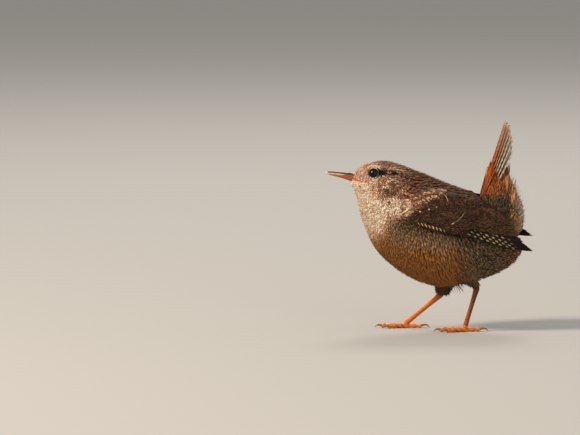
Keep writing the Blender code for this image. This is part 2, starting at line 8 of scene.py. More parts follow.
import bpy
import numpy as np
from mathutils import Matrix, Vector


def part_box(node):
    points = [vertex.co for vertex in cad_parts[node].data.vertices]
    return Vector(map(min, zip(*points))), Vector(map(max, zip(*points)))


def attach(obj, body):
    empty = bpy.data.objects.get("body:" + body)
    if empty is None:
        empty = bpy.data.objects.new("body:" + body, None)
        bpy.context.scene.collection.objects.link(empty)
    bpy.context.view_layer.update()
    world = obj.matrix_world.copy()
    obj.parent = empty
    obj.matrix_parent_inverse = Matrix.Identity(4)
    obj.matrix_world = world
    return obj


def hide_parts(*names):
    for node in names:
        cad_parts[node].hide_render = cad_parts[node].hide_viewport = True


bl_info = {
    "name": "Wren, still model",
    "version": (1, 0, 0),
    "blender": (4, 5, 0),
    "location": "3D View > Sidebar > Wren",
    "description": "Skin, plumage, bill, eyes, legs and stage of a life-size wren",
    "category": "Add Mesh",
}

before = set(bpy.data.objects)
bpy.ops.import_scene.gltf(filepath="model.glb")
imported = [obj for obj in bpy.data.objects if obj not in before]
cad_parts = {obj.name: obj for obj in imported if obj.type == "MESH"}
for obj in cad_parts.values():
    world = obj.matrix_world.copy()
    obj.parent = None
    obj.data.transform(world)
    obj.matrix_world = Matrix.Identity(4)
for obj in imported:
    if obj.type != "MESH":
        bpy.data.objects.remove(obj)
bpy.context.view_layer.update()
MM = 0.001

# ---------------------------------------------------------------- the forms that the solids were made from

BODY = np.array([  # top x, z, bottom x, z, half width, power of the share
    (-35.9, 62.3, -37.1, 58.5, 1.9, 1.00), (-34.2, 63.9, -36.3, 56.6, 3.7, 1.05),
    (-31.6, 65.4, -35.2, 54.2, 5.4, 1.10), (-28.9, 66.3, -34.3, 51.4, 6.7, 1.12),
    (-25.5, 67.0, -33.8, 48.2, 7.6, 1.15), (-21.7, 66.8, -32.9, 44.7, 8.6, 1.15),
    (-17.2, 65.5, -31.3, 40.3, 10.1, 1.10), (-12.4, 63.6, -29.2, 35.3, 12.1, 1.05),
    (-7.5, 61.8, -26.3, 30.8, 14.2, 1.00), (-2.2, 59.5, -22.1, 26.6, 16.0, 1.00),
    (2.8, 57.5, -16.6, 22.5, 17.2, 1.00), (7.5, 55.8, -9.7, 19.1, 17.8, 1.00),
    (11.7, 53.8, -2.0, 17.4, 17.7, 1.00), (15.2, 51.4, 6.3, 18.4, 16.8, 1.00),
    (18.2, 48.9, 14.2, 20.5, 15.0, 1.00), (21.0, 46.1, 21.0, 23.3, 12.2, 1.00),
    (23.7, 42.8, 26.0, 26.7, 8.8, 1.00), (26.3, 38.8, 28.9, 30.2, 5.0, 1.00),
    (28.4, 35.2, 28.9, 34.0, 0.8, 1.00)])
WING_BED = np.vstack([BODY[4:14], [
    (18.6, 50.4, 14.0, 19.6, 16.5, 1), (22.4, 48.8, 20.6, 22.0, 15.9, 1), (26.4, 46.6, 26.4, 24.0, 14.9, 1),
    (30.4, 44.0, 31.4, 25.6, 13.5, 1), (34.6, 41.2, 36.0, 27.0, 11.9, 1), (39.0, 38.4, 40.0, 28.0, 10.2, 1)]])
STEM = np.array([  # the tail's fleshy root
    (15.0, 44.0, 27.2, 35.2, 7.9, 1.0), (14.2, 49.0, 30.4, 41.0, 7.9, 1.0), (14.4, 53.6, 30.6, 48.0, 7.1, 1.0),
    (15.5, 57.8, 27.8, 55.0, 5.7, 1.0), (17.2, 61.6, 25.4, 60.2, 4.2, 1.0), (19.4, 65.0, 22.4, 64.4, 2.0, 1.0)])
WRIST, RIGHT_WING_TURN = (-17.5, 48.0), 3.6
WING_PAD_UPPER = [(-17.5, 48.2), (-13.0, 51.2), (-6.0, 53.0), (2.0, 52.4), (8.0, 50.4), (13.0, 47.2)]
WING_PAD_LOWER = [(-17.5, 47.8), (-13.5, 45.0), (-8.5, 42.6), (-1.0, 40.8), (6.0, 38.8), (13.0, 37.6)]
EYE_RADIUS, EYE_PLACE, EYE_SHOWS = 2.45, (-28.3, 62.7), 0.85
LID_RADII, LID_LIFT = (2.25, 2.0), 1.8
CULMEN = [(-36.25, 62.3), (-39.5, 62.7), (-43.4, 62.98), (-45.6, 62.95), (-46.9, 62.55)]
MOUTH = [(-36.95, 60.8), (-39.8, 61.35), (-43.4, 61.85), (-45.5, 62.05), (-46.9, 62.1)]
KEEL = [(-37.5, 59.1), (-40.3, 60.1), (-43.2, 60.9), (-45.3, 61.45), (-46.5, 61.85)]
BILL_HALF_WIDTH = [(1.95,), (1.55,), (1.1,), (0.65,), (0.26,)]
NOSTRIL, GAPE_CORNER = (-38.1, 61.75), (-32.2, 59.4)
LEGS = {  # knee, heel, ankle, heading of the toes in degrees, side
    "left": ((5.0, -8.6, 27.0), (12.6, -8.4, 17.9), (7.9, -7.4, 2.0), 186.0, -1),
    "right": ((1.0, 8.2, 24.5), (-0.9, 8.2, 13.6), (-15.0, 8.0, 2.0), 176.0, 1)}
SHANK_ENDS = 1.5
TOES = (("inner", 25.0, 7.4, 2.6), ("middle", 2.0, 9.6, 2.8), ("outer", -23.0, 7.9, 2.6), ("hind", 178.0, 5.6, 3.6))
TOE_RADIUS, TOE_LIFT = 0.78, 0.55
TAIL_LEAN, TAIL_ROOT, TAIL_ROOF, TAIL_SPREAD = 18.5, (12.7, 50.0), 3.6, 6.4
TAIL_REAR = ((41, 48, 55, 60, 65), (30.6, 30.8, 28.4, 25.8, 22.6))  # z, and the x of the fluff's rear edge there
TAIL_PAIRS = 6
SIDES = (("left", -1), ("right", 1))

# Where each form lies on the OFBake map, as u, v of its lower and its upper corner, and the side of a small feather's
# patch there.
BAKE_BOX = {"body": (0.02, 0.02, 0.72, 0.98), "stem": (0.74, 0.02, 0.84, 0.98), "left": (0.86, 0.02, 0.91, 0.98),
            "right": (0.93, 0.02, 0.98, 0.98)}
SMALL_PATCH = 0.003

# Feather outlines: shares along the vane, and the share of its full width there.
LEAF = ((0.0, 0.06, 0.3, 0.6, 0.85, 1.0), (0.2, 0.55, 0.95, 1.0, 0.75, 0.12))
TAPERED = ((0.0, 0.04, 0.3, 0.6, 0.82, 0.93, 1.0), (0.2, 0.5, 0.95, 1.0, 0.8, 0.45, 0.03))
TAIL_QUILL = ((0.0, 0.04, 0.3, 0.6, 0.85, 0.95, 1.0), (0.15, 0.4, 0.9, 1.0, 0.85, 0.5, 0.06))
SLIVER = ((0, 0.2, 0.7, 1), (0.4, 1, 0.6, 0.1))
TUFT = (0.0, 0.8, 1.0, 0.72, 0.0)  # the same at five even stations

# Each feather's bars start this many mm before those of the one laid before it, and slant by this share of the
# distance from the shaft.
BAR_STAGGER, BAR_SLANT = 0.35, 0.3
SHOULDER_ROW = 2.5  # mm from one row of pale tips to the next


def spline(rows, s):
    """A smooth curve through the rows at s, counted in rows: each stretch is the cubic with the chord's slope at both
    ends (Catmull-Rom)."""
    rows = np.asarray(rows, float)
    s = np.clip(np.asarray(s, float), 0, len(rows) - 1)
    i = np.minimum(s.astype(int), len(rows) - 2)
    f = (s - i)[..., None]
    padded = np.vstack([2 * rows[0] - rows[1], rows, 2 * rows[-1] - rows[-2]])
    a, b, c, d = padded[i], padded[i + 1], padded[i + 2], padded[i + 3]
    return 0.5 * (2 * b + (c - a) * f + (2 * a - 5 * b + 4 * c - d) * f**2 + (3 * b - a - 3 * c + d) * f**3)


def loft(rows):
    """surface(s, angle, grow) over the rows: the point lies down the section's chord by the share (1 - cos angle) / 2
    raised to the row's power, and out to the side by the half width times sin angle. Angle 0 is on top and pi/2 on
    the left."""
    def surface(s, angle, grow=0.0):
        row = spline(rows, s)
        top, down = row[..., 0:2], row[..., 2:4] - row[..., 0:2]
        length = np.linalg.norm(down, axis=-1, keepdims=True)
        share = ((1 - np.cos(angle)) / 2)[..., None] ** row[..., 5:6]
        grow = np.asarray(grow, float)[..., None]
        flat = top + down / length * (share * (length + 2 * grow) - grow)
        return np.stack([flat[..., 0], -(row[..., 4] + grow[..., 0]) * np.sin(angle), flat[..., 1]], -1)
    surface.end = len(rows) - 1
    return surface


def tube_surface(path, radii):
    """surface(s, angle, grow) round a path of points: path(s) + radius(s) * (cos angle * e1 + sin angle * e2)."""
    path, radii = np.asarray(path, float), np.asarray(radii, float)[:, None]
    along = unit(path[-1] - path[0])
    first = unit(np.cross(along, (0.0, 1.0, 0.0)))
    second = np.cross(along, first)

    def surface(s, angle, grow=0.0):
        radius = spline(radii, s) + np.asarray(grow, float)[..., None]
        return spline(path, s) + radius * (first * np.cos(angle)[..., None] + second * np.sin(angle)[..., None])
    surface.end = len(path) - 1
    return surface


def unit(vectors):
    return vectors / np.maximum(np.linalg.norm(vectors, axis=-1, keepdims=True), 1e-9)


def surface_frame(surface, s, angle, grow):
    """Point, derivative along s, derivative along angle and outward normal. Past the last row the surface goes on
    straight, by the derivative times what s exceeds it."""
    small = 0.01
    inside = np.clip(s, small, surface.end - small)
    point = surface(inside, angle, grow)
    along = (surface(inside + small, angle, grow) - surface(inside - small, angle, grow)) / (2 * small)
    round_it = (surface(inside, angle + small, grow) - surface(inside, angle - small, grow)) / (2 * small)
    middle = (point + surface(inside, angle + math.pi, grow)) / 2
    normal = unit(np.cross(along, round_it))
    normal *= np.where((normal * (point - middle)).sum(-1, keepdims=True) < 0, -1, 1)
    return point + along * (s - inside)[..., None], along, round_it, normal


def half_width(rows, x, z):
    """How far a lofted form reaches sideways at the side-view point x, z: the width times 2 sqrt(share (1 - share))."""
    steps = np.linspace(0, len(rows) - 1, 200)
    row = spline(rows, steps)
    top, down = row[:, 0:2], row[:, 2:4] - row[:, 0:2]
    point = np.stack([x, z], axis=-1)[..., None, :] - top
    side = point[..., 0] * down[:, 1] - point[..., 1] * down[:, 0]
    first = np.argmax(np.diff(np.sign(side), axis=-1) != 0, axis=-1)
    before = np.take_along_axis(side, first[..., None], -1)[..., 0]
    after = np.take_along_axis(side, first[..., None] + 1, -1)[..., 0]
    s = steps[first] + (steps[1] - steps[0]) * before / np.where(before == after, 1, before - after)
    at = spline(rows, s)
    down = at[..., 2:4] - at[..., 0:2]
    share = ((np.stack([x, z], -1) - at[..., 0:2]) * down).sum(-1) / (down**2).sum(-1)
    share = np.clip(share, 0, 1) ** (1 / at[..., 5])
    return at[..., 4] * 2 * np.sqrt(np.clip(share * (1 - share), 0, None))


BED_FIRST, BED_LAST, BED_STEP = (-34.0, 18.0), (44.0, 70.0), 0.5  # side-view corners and step of the bed's table
BED_X, BED_Z = np.meshgrid(*(np.arange(low, high, BED_STEP) for low, high in zip(BED_FIRST, BED_LAST)), indexing="ij")
BED = np.maximum(half_width(WING_BED, BED_X, BED_Z), np.interp(BED_X, (7.0, 13.5, 28.5, 34.0), (0.0, 8.5, 8.5, 0.0)))


def bed_reach(x, z):
    """The reach of the wing's bed, read between the four nearest points of its table."""
    i, j = (np.clip((value - first) / BED_STEP, 0, count - 1.001)
            for value, first, count in zip((x, z), BED_FIRST, BED.shape))
    a, b = i.astype(int), j.astype(int)
    i, j = i - a, j - b
    return ((BED[a, b] * (1 - i) + BED[a + 1, b] * i) * (1 - j) + (BED[a, b + 1] * (1 - i) + BED[a + 1, b + 1] * i) * j)


def wing_place(side):
    """The wing's sheet: u, v are side-view x, z, laid over the bed, and h is the height over it, square to it."""
    turn = math.radians(RIGHT_WING_TURN if side > 0 else 0.0)
    off, steepest = 0.8, 1.6  # the slope is measured this far to both sides, and cut off at this value

    def place(x, z, h):
        across, up = x - WRIST[0], z - WRIST[1]
        x = WRIST[0] + across * math.cos(turn) - up * math.sin(turn)
        z = WRIST[1] + across * math.sin(turn) + up * math.cos(turn)
        slope_x = np.clip((bed_reach(x + off, z) - bed_reach(x - off, z)) / (2 * off), -steepest, steepest)
        slope_z = np.clip((bed_reach(x, z + off) - bed_reach(x, z - off)) / (2 * off), -steepest, steepest)
        norm = np.sqrt(1 + slope_x**2 + slope_z**2)
        return np.stack([x - slope_x / norm * h, side * (bed_reach(x, z) + h / norm), z - slope_z / norm * h], -1)
    return place


def tail_place(u, v, h):
    """The tail's roof-shaped sheet: u runs up the tail from its root, v across it, and h towards the head. The sheet
    falls away from its ridge by the roof's height times (|v| / spread) to the power 1.4."""
    lean = math.radians(TAIL_LEAN)
    up, back = np.array([math.sin(lean), math.cos(lean)]), np.array([math.cos(lean), -math.sin(lean)])
    drop = TAIL_ROOF * (np.abs(v) / TAIL_SPREAD) ** 1.4
    flat = np.asarray(TAIL_ROOT) + up * u[..., None] + back * (drop - h)[..., None]
    return np.stack([flat[..., 0], v, flat[..., 1]], -1)


def eye_outward(side):
    return unit(np.array([-0.22, side * 1.0, 0.26]))


def eye_centre(side):
    reach = float(half_width(BODY, np.array(EYE_PLACE[0]), np.array(EYE_PLACE[1])))
    return np.array([EYE_PLACE[0], side * reach, EYE_PLACE[1]]) + eye_outward(side) * (EYE_SHOWS - EYE_RADIUS)


def solids_shift():
    """How far the solids' frame lies from the design's, from the middle of the two eyeballs."""
    corners = np.array([[list(c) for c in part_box(name)] for name in ("eye_left", "eye_right")]) / MM
    middle = corners.mean(axis=(0, 1))
    return np.array([middle[0] - eye_centre(-1)[0], middle[1], 0.0])


SHIFT = solids_shift()


def to_row(points):
    return (np.asarray(points) + SHIFT) * MM


# ---------------------------------------------------------------- settings that a user would change


def linear(code):
    """An sRGB hex colour as linear light."""
    value = np.array([int(code[i:i + 2], 16) for i in (1, 3, 5)]) / 255
    return np.where(value <= 0.04045, value / 12.92, ((value + 0.055) / 1.055) ** 2.4)


def colour_setting(name, description, code):
    return bpy.props.FloatVectorProperty(name=name, description=description, subtype="COLOR", size=3, min=0, max=1,
                                         default=tuple(linear(code)))


def length_setting(name, description, millimetres):
    return bpy.props.FloatProperty(name=name, description=description, unit="LENGTH", min=0.0001, max=0.05,
                                   precision=5, default=millimetres * MM)


class WREN_PG_sizes(bpy.types.PropertyGroup):
    face_feather: length_setting("Face feather", "Length of the smallest feathers, at the bill", 1.3)
    head_feather: length_setting("Head feather", "Length of the feathers on the back of the head", 2.6)
    body_feather: length_setting("Body feather", "Length of the feathers on the back and breast", 4.8)
    flank_feather: length_setting("Flank feather", "Length of the loose feathers of flank and belly", 6.8)
    wing_bar: length_setting("Wing bar spacing", "From one pale bar of a wing feather to the next", 2.6)
    tail_bar: length_setting("Tail bar spacing", "From one dark bar of a tail feather to the next", 2.3)
    scute: length_setting("Scute length", "Length of one plate on the front of the leg", 1.8)


class WREN_PG_colours(bpy.types.PropertyGroup):
    crown_edge: colour_setting("Crown", "Pale brown of the crown and of the shoulder's rows", "#c8977a")
    back: colour_setting("Back", "Dark red-brown of the back", "#4f2d19")
    rump: colour_setting("Rump", "Red-brown of rump and tail base, and of the mottling on back and wing", "#8a4a20")
    dark: colour_setting("Dark bars", "Blackish brown of bars and stripes", "#1d130c")
    brow: colour_setting("Brow", "Pale stripe over the eye", "#d2ad88")
    lore: colour_setting("Lores", "Between bill and eye", "#c9a08a")
    ear: colour_setting("Ear coverts", "Cheek behind the eye", "#b08663")
    throat: colour_setting("Throat", "Pale peach of the throat", "#ffd9be")
    breast: colour_setting("Breast", "Buff of the breast", "#bd8c62")
    belly: colour_setting("Belly", "Golden brown of the belly", "#92581f")
    flank: colour_setting("Flank", "Olive brown of the flank and of the loose tips under the belly", "#7c6a50")
    vent: colour_setting("Vent", "Buff under the tail", "#a3774d")
    fluff: colour_setting("Loose tips", "Grey-white tips of the loose feathers", "#ead9c6")
    wing: colour_setting("Wing", "Dark brown of the wing feathers", "#3c3328")
    wing_check: colour_setting("Wing checks", "Cream checks along the wing feathers", "#d2b27c")
    tail: colour_setting("Tail", "Rufous of the tail", "#9c4d18")
    # Painted light: the whitish tone of the outer tail feathers stands for light shining through their thin webs; it
    # also gives the quills their pale tips and margins.
    tail_pale_and_backlit: colour_setting("Tail webs", "Whitish webs of the outer tail feathers", "#a69f8a")
    bill: colour_setting("Bill ridge", "Slate black of the upper bill", "#2b2a30")
    bill_edge: colour_setting("Bill edge", "Cream line along the mouth", "#ecd3a4")
    bill_under: colour_setting("Lower bill", "Orange of the lower bill", "#a34f14")
    leg: colour_setting("Leg", "Orange brown of legs and toes", "#cc6a12")
    # Painted shade: this brown darkens the upright leg and the other leg's upper end, where the body shades them.
    leg_shaded: colour_setting("Upright leg", "Brown of the upright leg and of the other leg's upper end", "#5e3219")
    claw: colour_setting("Claw", "Brown horn of the claws", "#8a5428")


def sizes(name):
    """A size setting in millimetres."""
    return getattr(bpy.context.scene.wren_sizes, name) / MM


def colours(name):
    """A colour setting as linear light."""
    return np.array(getattr(bpy.context.scene.wren_colours, name))


# ---------------------------------------------------------------- meshes from arrays


def cell_triangles(first, second, around):
    """Two triangles to each cell between the rings numbered first and those numbered second."""
    j = np.arange(around)
    k = (j + 1) % around
    first, second = first[:, None] * around, second[:, None] * around
    a, b, c, d = first + j, first + k, second + k, second + j
    return np.stack([np.stack([a, b, c], -1), np.stack([a, c, d], -1)], -2).reshape(-1, 3)


def ring_triangles(rings, around):
    """Triangles of a closed form of rings: the cells between rings, and a fan to the pole at each end. The poles are
    the two points after the rings."""
    ring, j = np.arange(rings), np.arange(around)
    k = (j + 1) % around
    root, tip = np.full(around, rings * around), np.full(around, rings * around + 1)
    last = (rings - 1) * around
    return np.vstack([cell_triangles(ring[:-1], ring[1:], around), np.stack([k, j, root], -1),
                      np.stack([last + j, last + k, tip], -1)])


def outward(points, faces):
    """The faces of closed forms, (forms, faces, 3), turned where a form's signed volume is negative."""
    corner = (points - points.mean(1, keepdims=True))[np.arange(len(points))[:, None, None], faces]
    volume = (corner[:, :, 0] * np.cross(corner[:, :, 1], corner[:, :, 2])).sum((1, 2))
    return np.where((volume < 0)[:, None, None], faces[..., ::-1], faces)


def add_piece(name, points, faces, finish, tints, replaced=(), uvs=None):
    """A piece of the bird from points in design millimetres and triangles, with colours and UV maps given per point,
    and the names of the solids that it replaces."""
    mesh = bpy.data.meshes.new(name)
    mesh.vertices.add(len(points))
    mesh.vertices.foreach_set("co", to_row(points).astype(np.float32).ravel())
    mesh.loops.add(faces.size)
    mesh.loops.foreach_set("vertex_index", faces.ravel().astype(np.int32))
    mesh.polygons.add(len(faces))
    mesh.polygons.foreach_set("loop_start", np.arange(0, faces.size, 3, dtype=np.int32))
    mesh.update(calc_edges=True)
    mesh.validate()
    mesh.shade_smooth()
    for layer, values in (uvs or {}).items():
        mesh.uv_layers.new(name=layer).uv.foreach_set("vector", values[faces.ravel()].astype(np.float32).ravel())
    for layer, values in tints.items():
        if values.shape[1] == 3:
            values = np.hstack([values, np.ones((len(values), 1))])
        mesh.color_attributes.new(layer, "FLOAT_COLOR", "POINT").data.foreach_set(
            "color", values.astype(np.float32).ravel())
    mesh.materials.append(finish)
    piece = bpy.data.objects.new(name, mesh)
    bpy.context.scene.collection.objects.link(piece)
    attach(piece, "root")
    if replaced:
        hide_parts(*replaced)
    return piece


def closed_form(rings):
    """Points and outward triangles of a form through rings, an array (rings, around, 3), closed at both ends."""
    count, around = rings.shape[:2]
    points = np.vstack([rings.reshape(-1, 3), rings[0].mean(0), rings[-1].mean(0)])
    return points, outward(points[None], ring_triangles(count, around)[None])[0]


def with_poles(values):
    """Values given per ring point, (rings, around, n), with the first and last ring's mean added for the poles."""
    return np.vstack([values.reshape(-1, values.shape[-1]), values[0].mean(0), values[-1].mean(0)])


def tube_rings(path, radii, around):
    """Rings round a path. radii is (points, around, 2): the reach across, level with the floor, and in depth."""
    along = unit(np.gradient(path, axis=0))
    across = np.cross(along, (0.0, 0.0, 1.0))
    flat = np.linalg.norm(across, axis=1, keepdims=True)
    across = np.where(flat < 0.2, np.array([[0.0, 1.0, 0.0]]), across / np.maximum(flat, 1e-9))
    across = unit(across - along * (across * along).sum(1, keepdims=True))
    depth = np.cross(along, across)
    turn = (np.arange(around) + 0.5) * 2 * math.pi / around
    return (path[:, None] + across[:, None] * (np.cos(turn)[None, :, None] * radii[..., 0:1])
            + depth[:, None] * (np.sin(turn)[None, :, None] * radii[..., 1:2]))


def fine_path(path, radii, steps):
    """A path and its radii resampled along the smooth curve through them."""
    s = np.linspace(0, len(path) - 1, steps)
    return spline(path, s), spline(np.asarray(radii, float).reshape(len(path), -1), s)


# ---------------------------------------------------------------- vanes: one thin closed leaf for each feather


def vane_template(stations, columns):
    """For each point of a vane, its share along it and its place across it from -1 to 1, and how far it is in the
    underside; then the vane's triangles. The first and last station are points, the others rings."""
    top = np.linspace(-1, 1, columns)
    across = np.concatenate([top, top[-2:0:-1]])
    under = np.concatenate([np.zeros(columns), np.ones(columns - 2)])
    return across, under, ring_triangles(stations - 2, len(across))


def close_vanes(rings, root, tip, shares, across):
    """Vanes, (count, rings, around, 3) with their two end points, as one batch with its share and place per point."""
    count, inner, around = rings.shape[:3]
    points = np.concatenate([rings.reshape(count, -1, 3), root[:, None], tip[:, None]], 1)
    along = np.concatenate([np.repeat(shares[1:-1], around), [0.0, 1.0]])
    x = np.concatenate([np.tile(across, inner), [0.0, 0.0]])
    faces = outward(points, np.broadcast_to(ring_triangles(inner, around), (count, inner * around * 2, 3)))
    return {"points": points, "faces": faces, "along": along, "x": x}


def in_box(box, u, v):
    """The places on a UV map at the shares u and v of a box, which is given by u, v of its two corners."""
    return np.stack([box[0] + (box[2] - box[0]) * u, box[1] + (box[3] - box[1]) * v], -1)


def with_strength(tint, strength, shape):
    """A marking as its colour and, fourth, its strength, both spread to the shape."""
    return np.concatenate([np.broadcast_to(tint, (*shape, 3)), np.broadcast_to(strength, (*shape, 1))], -1)


def lay_coat(surface, s, angle, heading, length, width, base, rise, shape, curl):
    """Feathers on a skin. Each shaft walks from its root over the surface, in the heading turned from tailwards, in
    equal steps, at a height of base + rise * share ** 1.3, and turns by curl on its way. The vane spreads
    width * shape(share) across it, and its edges fall by the camber."""
    camber, thick = 0.35, 0.09
    shares = np.linspace(0, 1, len(shape))
    across_x, under, _ = vane_template(len(shape), 3)
    s, angle, heading = s.copy(), angle.copy(), heading.copy()
    shaft, sideways, normals = [], [], []
    for share in shares:
        point, along, round_it, normal = surface_frame(surface, s, angle, base)
        run, turn = np.linalg.norm(along, axis=-1), np.linalg.norm(round_it, axis=-1)
        ahead = unit(along / run[:, None] * np.cos(heading)[:, None]
                     + round_it / turn[:, None] * np.sin(heading)[:, None])
        shaft.append(point + normal * (rise * share**1.3)[:, None])
        sideways.append(unit(np.cross(normal, ahead)))
        normals.append(normal)
        step = length / (len(shares) - 1)
        s = s + np.cos(heading) * step / np.maximum(run, 0.5)
        angle = angle + np.sin(heading) * step / np.maximum(turn, 0.8)
        heading = heading + curl / (len(shares) - 1)
    shaft, sideways, normals = (np.stack(values, 1) for values in (shaft, sideways, normals))
    half = (width[:, None] / 2 * np.asarray(shape)[None])[:, 1:-1, None]
    rings = (shaft[:, 1:-1, None] + sideways[:, 1:-1, None] * (half * across_x)[..., None]
             + normals[:, 1:-1, None] * (-camber * half * across_x**2 - thick * under)[..., None])
    batch = close_vanes(rings, shaft[:, 0], shaft[:, -1], shares, across_x)
    batch["length"], batch["width"] = length, width
    return batch


def lay_sheet(place, root, tip, width, low, high, shape, columns, stations, tilt, bend, fray, rng, cushion=None,
              camber=0.12, thick=0.16):
    """Feathers on a sheet: place(u, v, h). Each runs from root to tip, both (count, 2), bowed by bend times the sine
    of its share, from height low to high over what the cushion adds at its place, with its far edge up by the tilt,
    and frayed edges: each web's width is cut by random notches."""
    count = len(root)
    shares = np.linspace(0, 1, stations)
    across_x, under, _ = vane_template(stations, columns)
    run = tip - root
    length = np.linalg.norm(run, axis=1)
    ahead = run / length[:, None]
    aside = np.stack([-ahead[:, 1], ahead[:, 0]], -1)
    centre = (root[:, None] + run[:, None] * shares[None, :, None]
              + aside[:, None] * (np.reshape(bend, (-1, 1, 1)) * np.sin(math.pi * shares)[None, :, None]))
    half = np.broadcast_to(np.reshape(width, (-1, 1)) / 2, (count, 1)) * np.interp(shares, *shape)[None]
    webs = half[..., None] * (1 - fray * rng.random((count, stations, 2)) * (0.4 + 0.6 * shares)[None, :, None])
    web = np.where(across_x < 0, webs[:, 1:-1, 0:1], webs[:, 1:-1, 1:2]) * across_x
    height = (np.reshape(low, (-1, 1)) + (np.reshape(high, (-1, 1)) - np.reshape(low, (-1, 1))) * shares)
    h = (height[:, 1:-1, None] + np.reshape(tilt, (-1, 1, 1)) * across_x
         - camber * half[:, 1:-1, None] * across_x**2 - thick * under * (1 - across_x**2))
    uv = centre[:, 1:-1, None] + aside[:, None, None] * web[..., None]
    ends = height[:, [0, -1]]
    if cushion is not None:
        h, ends = h + cushion(uv[..., 0], uv[..., 1]), ends + cushion(centre[:, [0, -1], 0], centre[:, [0, -1], 1])
    ends = place(centre[:, [0, -1], 0], centre[:, [0, -1], 1], ends)
    batch = close_vanes(place(uv[..., 0], uv[..., 1], h), ends[:, 0], ends[:, 1], shares, across_x)
    batch["length"], batch["width"] = length, np.full(count, 1.0) * np.reshape(width, -1)
    return batch


def free_vanes(root, tip, width, bow, aside):
    """Slender vanes through the air from root to tip, each (count, 3), bowed by bow times the sine of the share, and
    spread along aside."""
    stations, thick = 8, 0.05
    shares = np.linspace(0, 1, stations)
    across_x, under, _ = vane_template(stations, 3)
    shaft = (root[:, None] + (tip - root)[:, None] * shares[None, :, None]
             + bow[:, None] * np.sin(math.pi * shares)[None, :, None])
    aside = unit(np.broadcast_to(aside, root.shape))
    depth = unit(np.cross(tip - root, aside))
    half = (np.reshape(width, (-1, 1)) / 2 * np.interp(shares, *SLIVER)[None])[:, 1:-1, None]
    rings = (shaft[:, 1:-1, None] + aside[:, None, None] * (half * across_x)[..., None]
             - depth[:, None, None] * (thick * under)[..., None])
    batch = close_vanes(rings, shaft[:, 0], shaft[:, -1], shares, across_x)
    batch["length"] = np.linalg.norm(tip - root, axis=1)
    batch["width"] = np.full(len(root), 1.0) * np.reshape(width, -1)
    return batch


def paint(batch, base, mark, edge, centres, side=SMALL_PATCH):
    """Adds a batch's colours, each (count, points, n) or one that spreads to it, and its square patches of the OFBake
    map, by their centres and their side."""
    count, points = batch["points"].shape[:2]
    batch["base"] = np.broadcast_to(base, (count, points, 3))
    batch["mark"] = np.broadcast_to(mark, (count, points, 4))
    batch["edge"] = np.broadcast_to(edge, (count, points, 4))
    corner = np.stack([batch["x"] / 2, batch["along"] - 0.5], -1)
    batch["bake"] = centres[:, None] + corner[None] * side
    return batch


def add_vanes(name, batches, finish, replaced=()):
    """One piece from batches of vanes. Its map Vane runs across and along each feather from 0 to 1. Span holds the
    same in millimetres, moved along each feather by the bars' stagger and slant."""
    points, faces, uvs, tints, start = [], [], {"OFBake": [], "Vane": [], "Span": []}, {}, 0
    for batch in batches:
        count, each = batch["points"].shape[:2]
        points.append(batch["points"].reshape(-1, 3))
        faces.append((batch["faces"] + (np.arange(count) * each)[:, None, None]).reshape(-1, 3) + start)
        start += count * each
        x, along = (np.broadcast_to(batch[key], (count, each)) for key in ("x", "along"))
        width, length = batch["width"][:, None], batch["length"][:, None]
        uvs["OFBake"].append(batch["bake"].reshape(-1, 2))
        uvs["Vane"].append(np.stack([x / 2 + 0.5, along], -1).reshape(-1, 2))
        uvs["Span"].append(np.stack([x * width / 2, along * length - np.arange(count)[:, None] * BAR_STAGGER
                                     + BAR_SLANT * x * width], -1).reshape(-1, 2))
        for key, layer in (("base", "Tint"), ("mark", "Marking"), ("edge", "Edging")):
            tints.setdefault(layer, []).append(batch[key].reshape(-1, batch[key].shape[-1]))
    tints, uvs = ({key: np.vstack(value) for key, value in layers.items()} for layers in (tints, uvs))
    return add_piece(name, np.vstack(points), np.vstack(faces), finish, tints, replaced, uvs)


# ---------------------------------------------------------------- markings: colours as functions of the place


def ramp(value, start, end):
    """0 at start, 1 at end, with a smooth step between."""
    share = np.clip((value - start) / (end - start), 0, 1)
    return share * share * (3 - 2 * share)


def mottle(points, size, seed=0):
    """A soft noise from -1 to 1 with blotches of about that size: sines along six fixed directions, multiplied in
    pairs and averaged."""
    rng = np.random.default_rng(100 + seed)
    total = 0.0
    for _ in range(3):
        first, second = unit(rng.normal(size=(2, 3))) * (math.pi / size)
        phase = rng.random(2) * 6.28
        stretch = 0.8 + rng.random() * 0.5
        total = total + np.sin(points @ first * stretch + phase[0]) * np.sin(points @ second + phase[1])
    return total / 1.7


def band(value, middle, width):
    """1 within the width of the middle line and 0 from twice that."""
    return 1 - ramp(np.abs(value - middle), width * 0.75, width * 1.6)


def spot(x, z, at, radii, soft=0.4):
    """1 inside an ellipse seen from the side and 0 outside it."""
    return 1 - ramp(np.hypot((x - at[0]) / radii[0], (z - at[1]) / radii[1]), 1 - soft, 1 + soft)


def shoulder_wave(x, z, wavy, fine):
    """From -1 to 1: the rows of pale tips that climb backwards over the shoulder, bent by the two noises."""
    return np.sin((z - 0.5 * x) * 2 * math.pi / SHOULDER_ROW + 1.4 * wavy + fine)


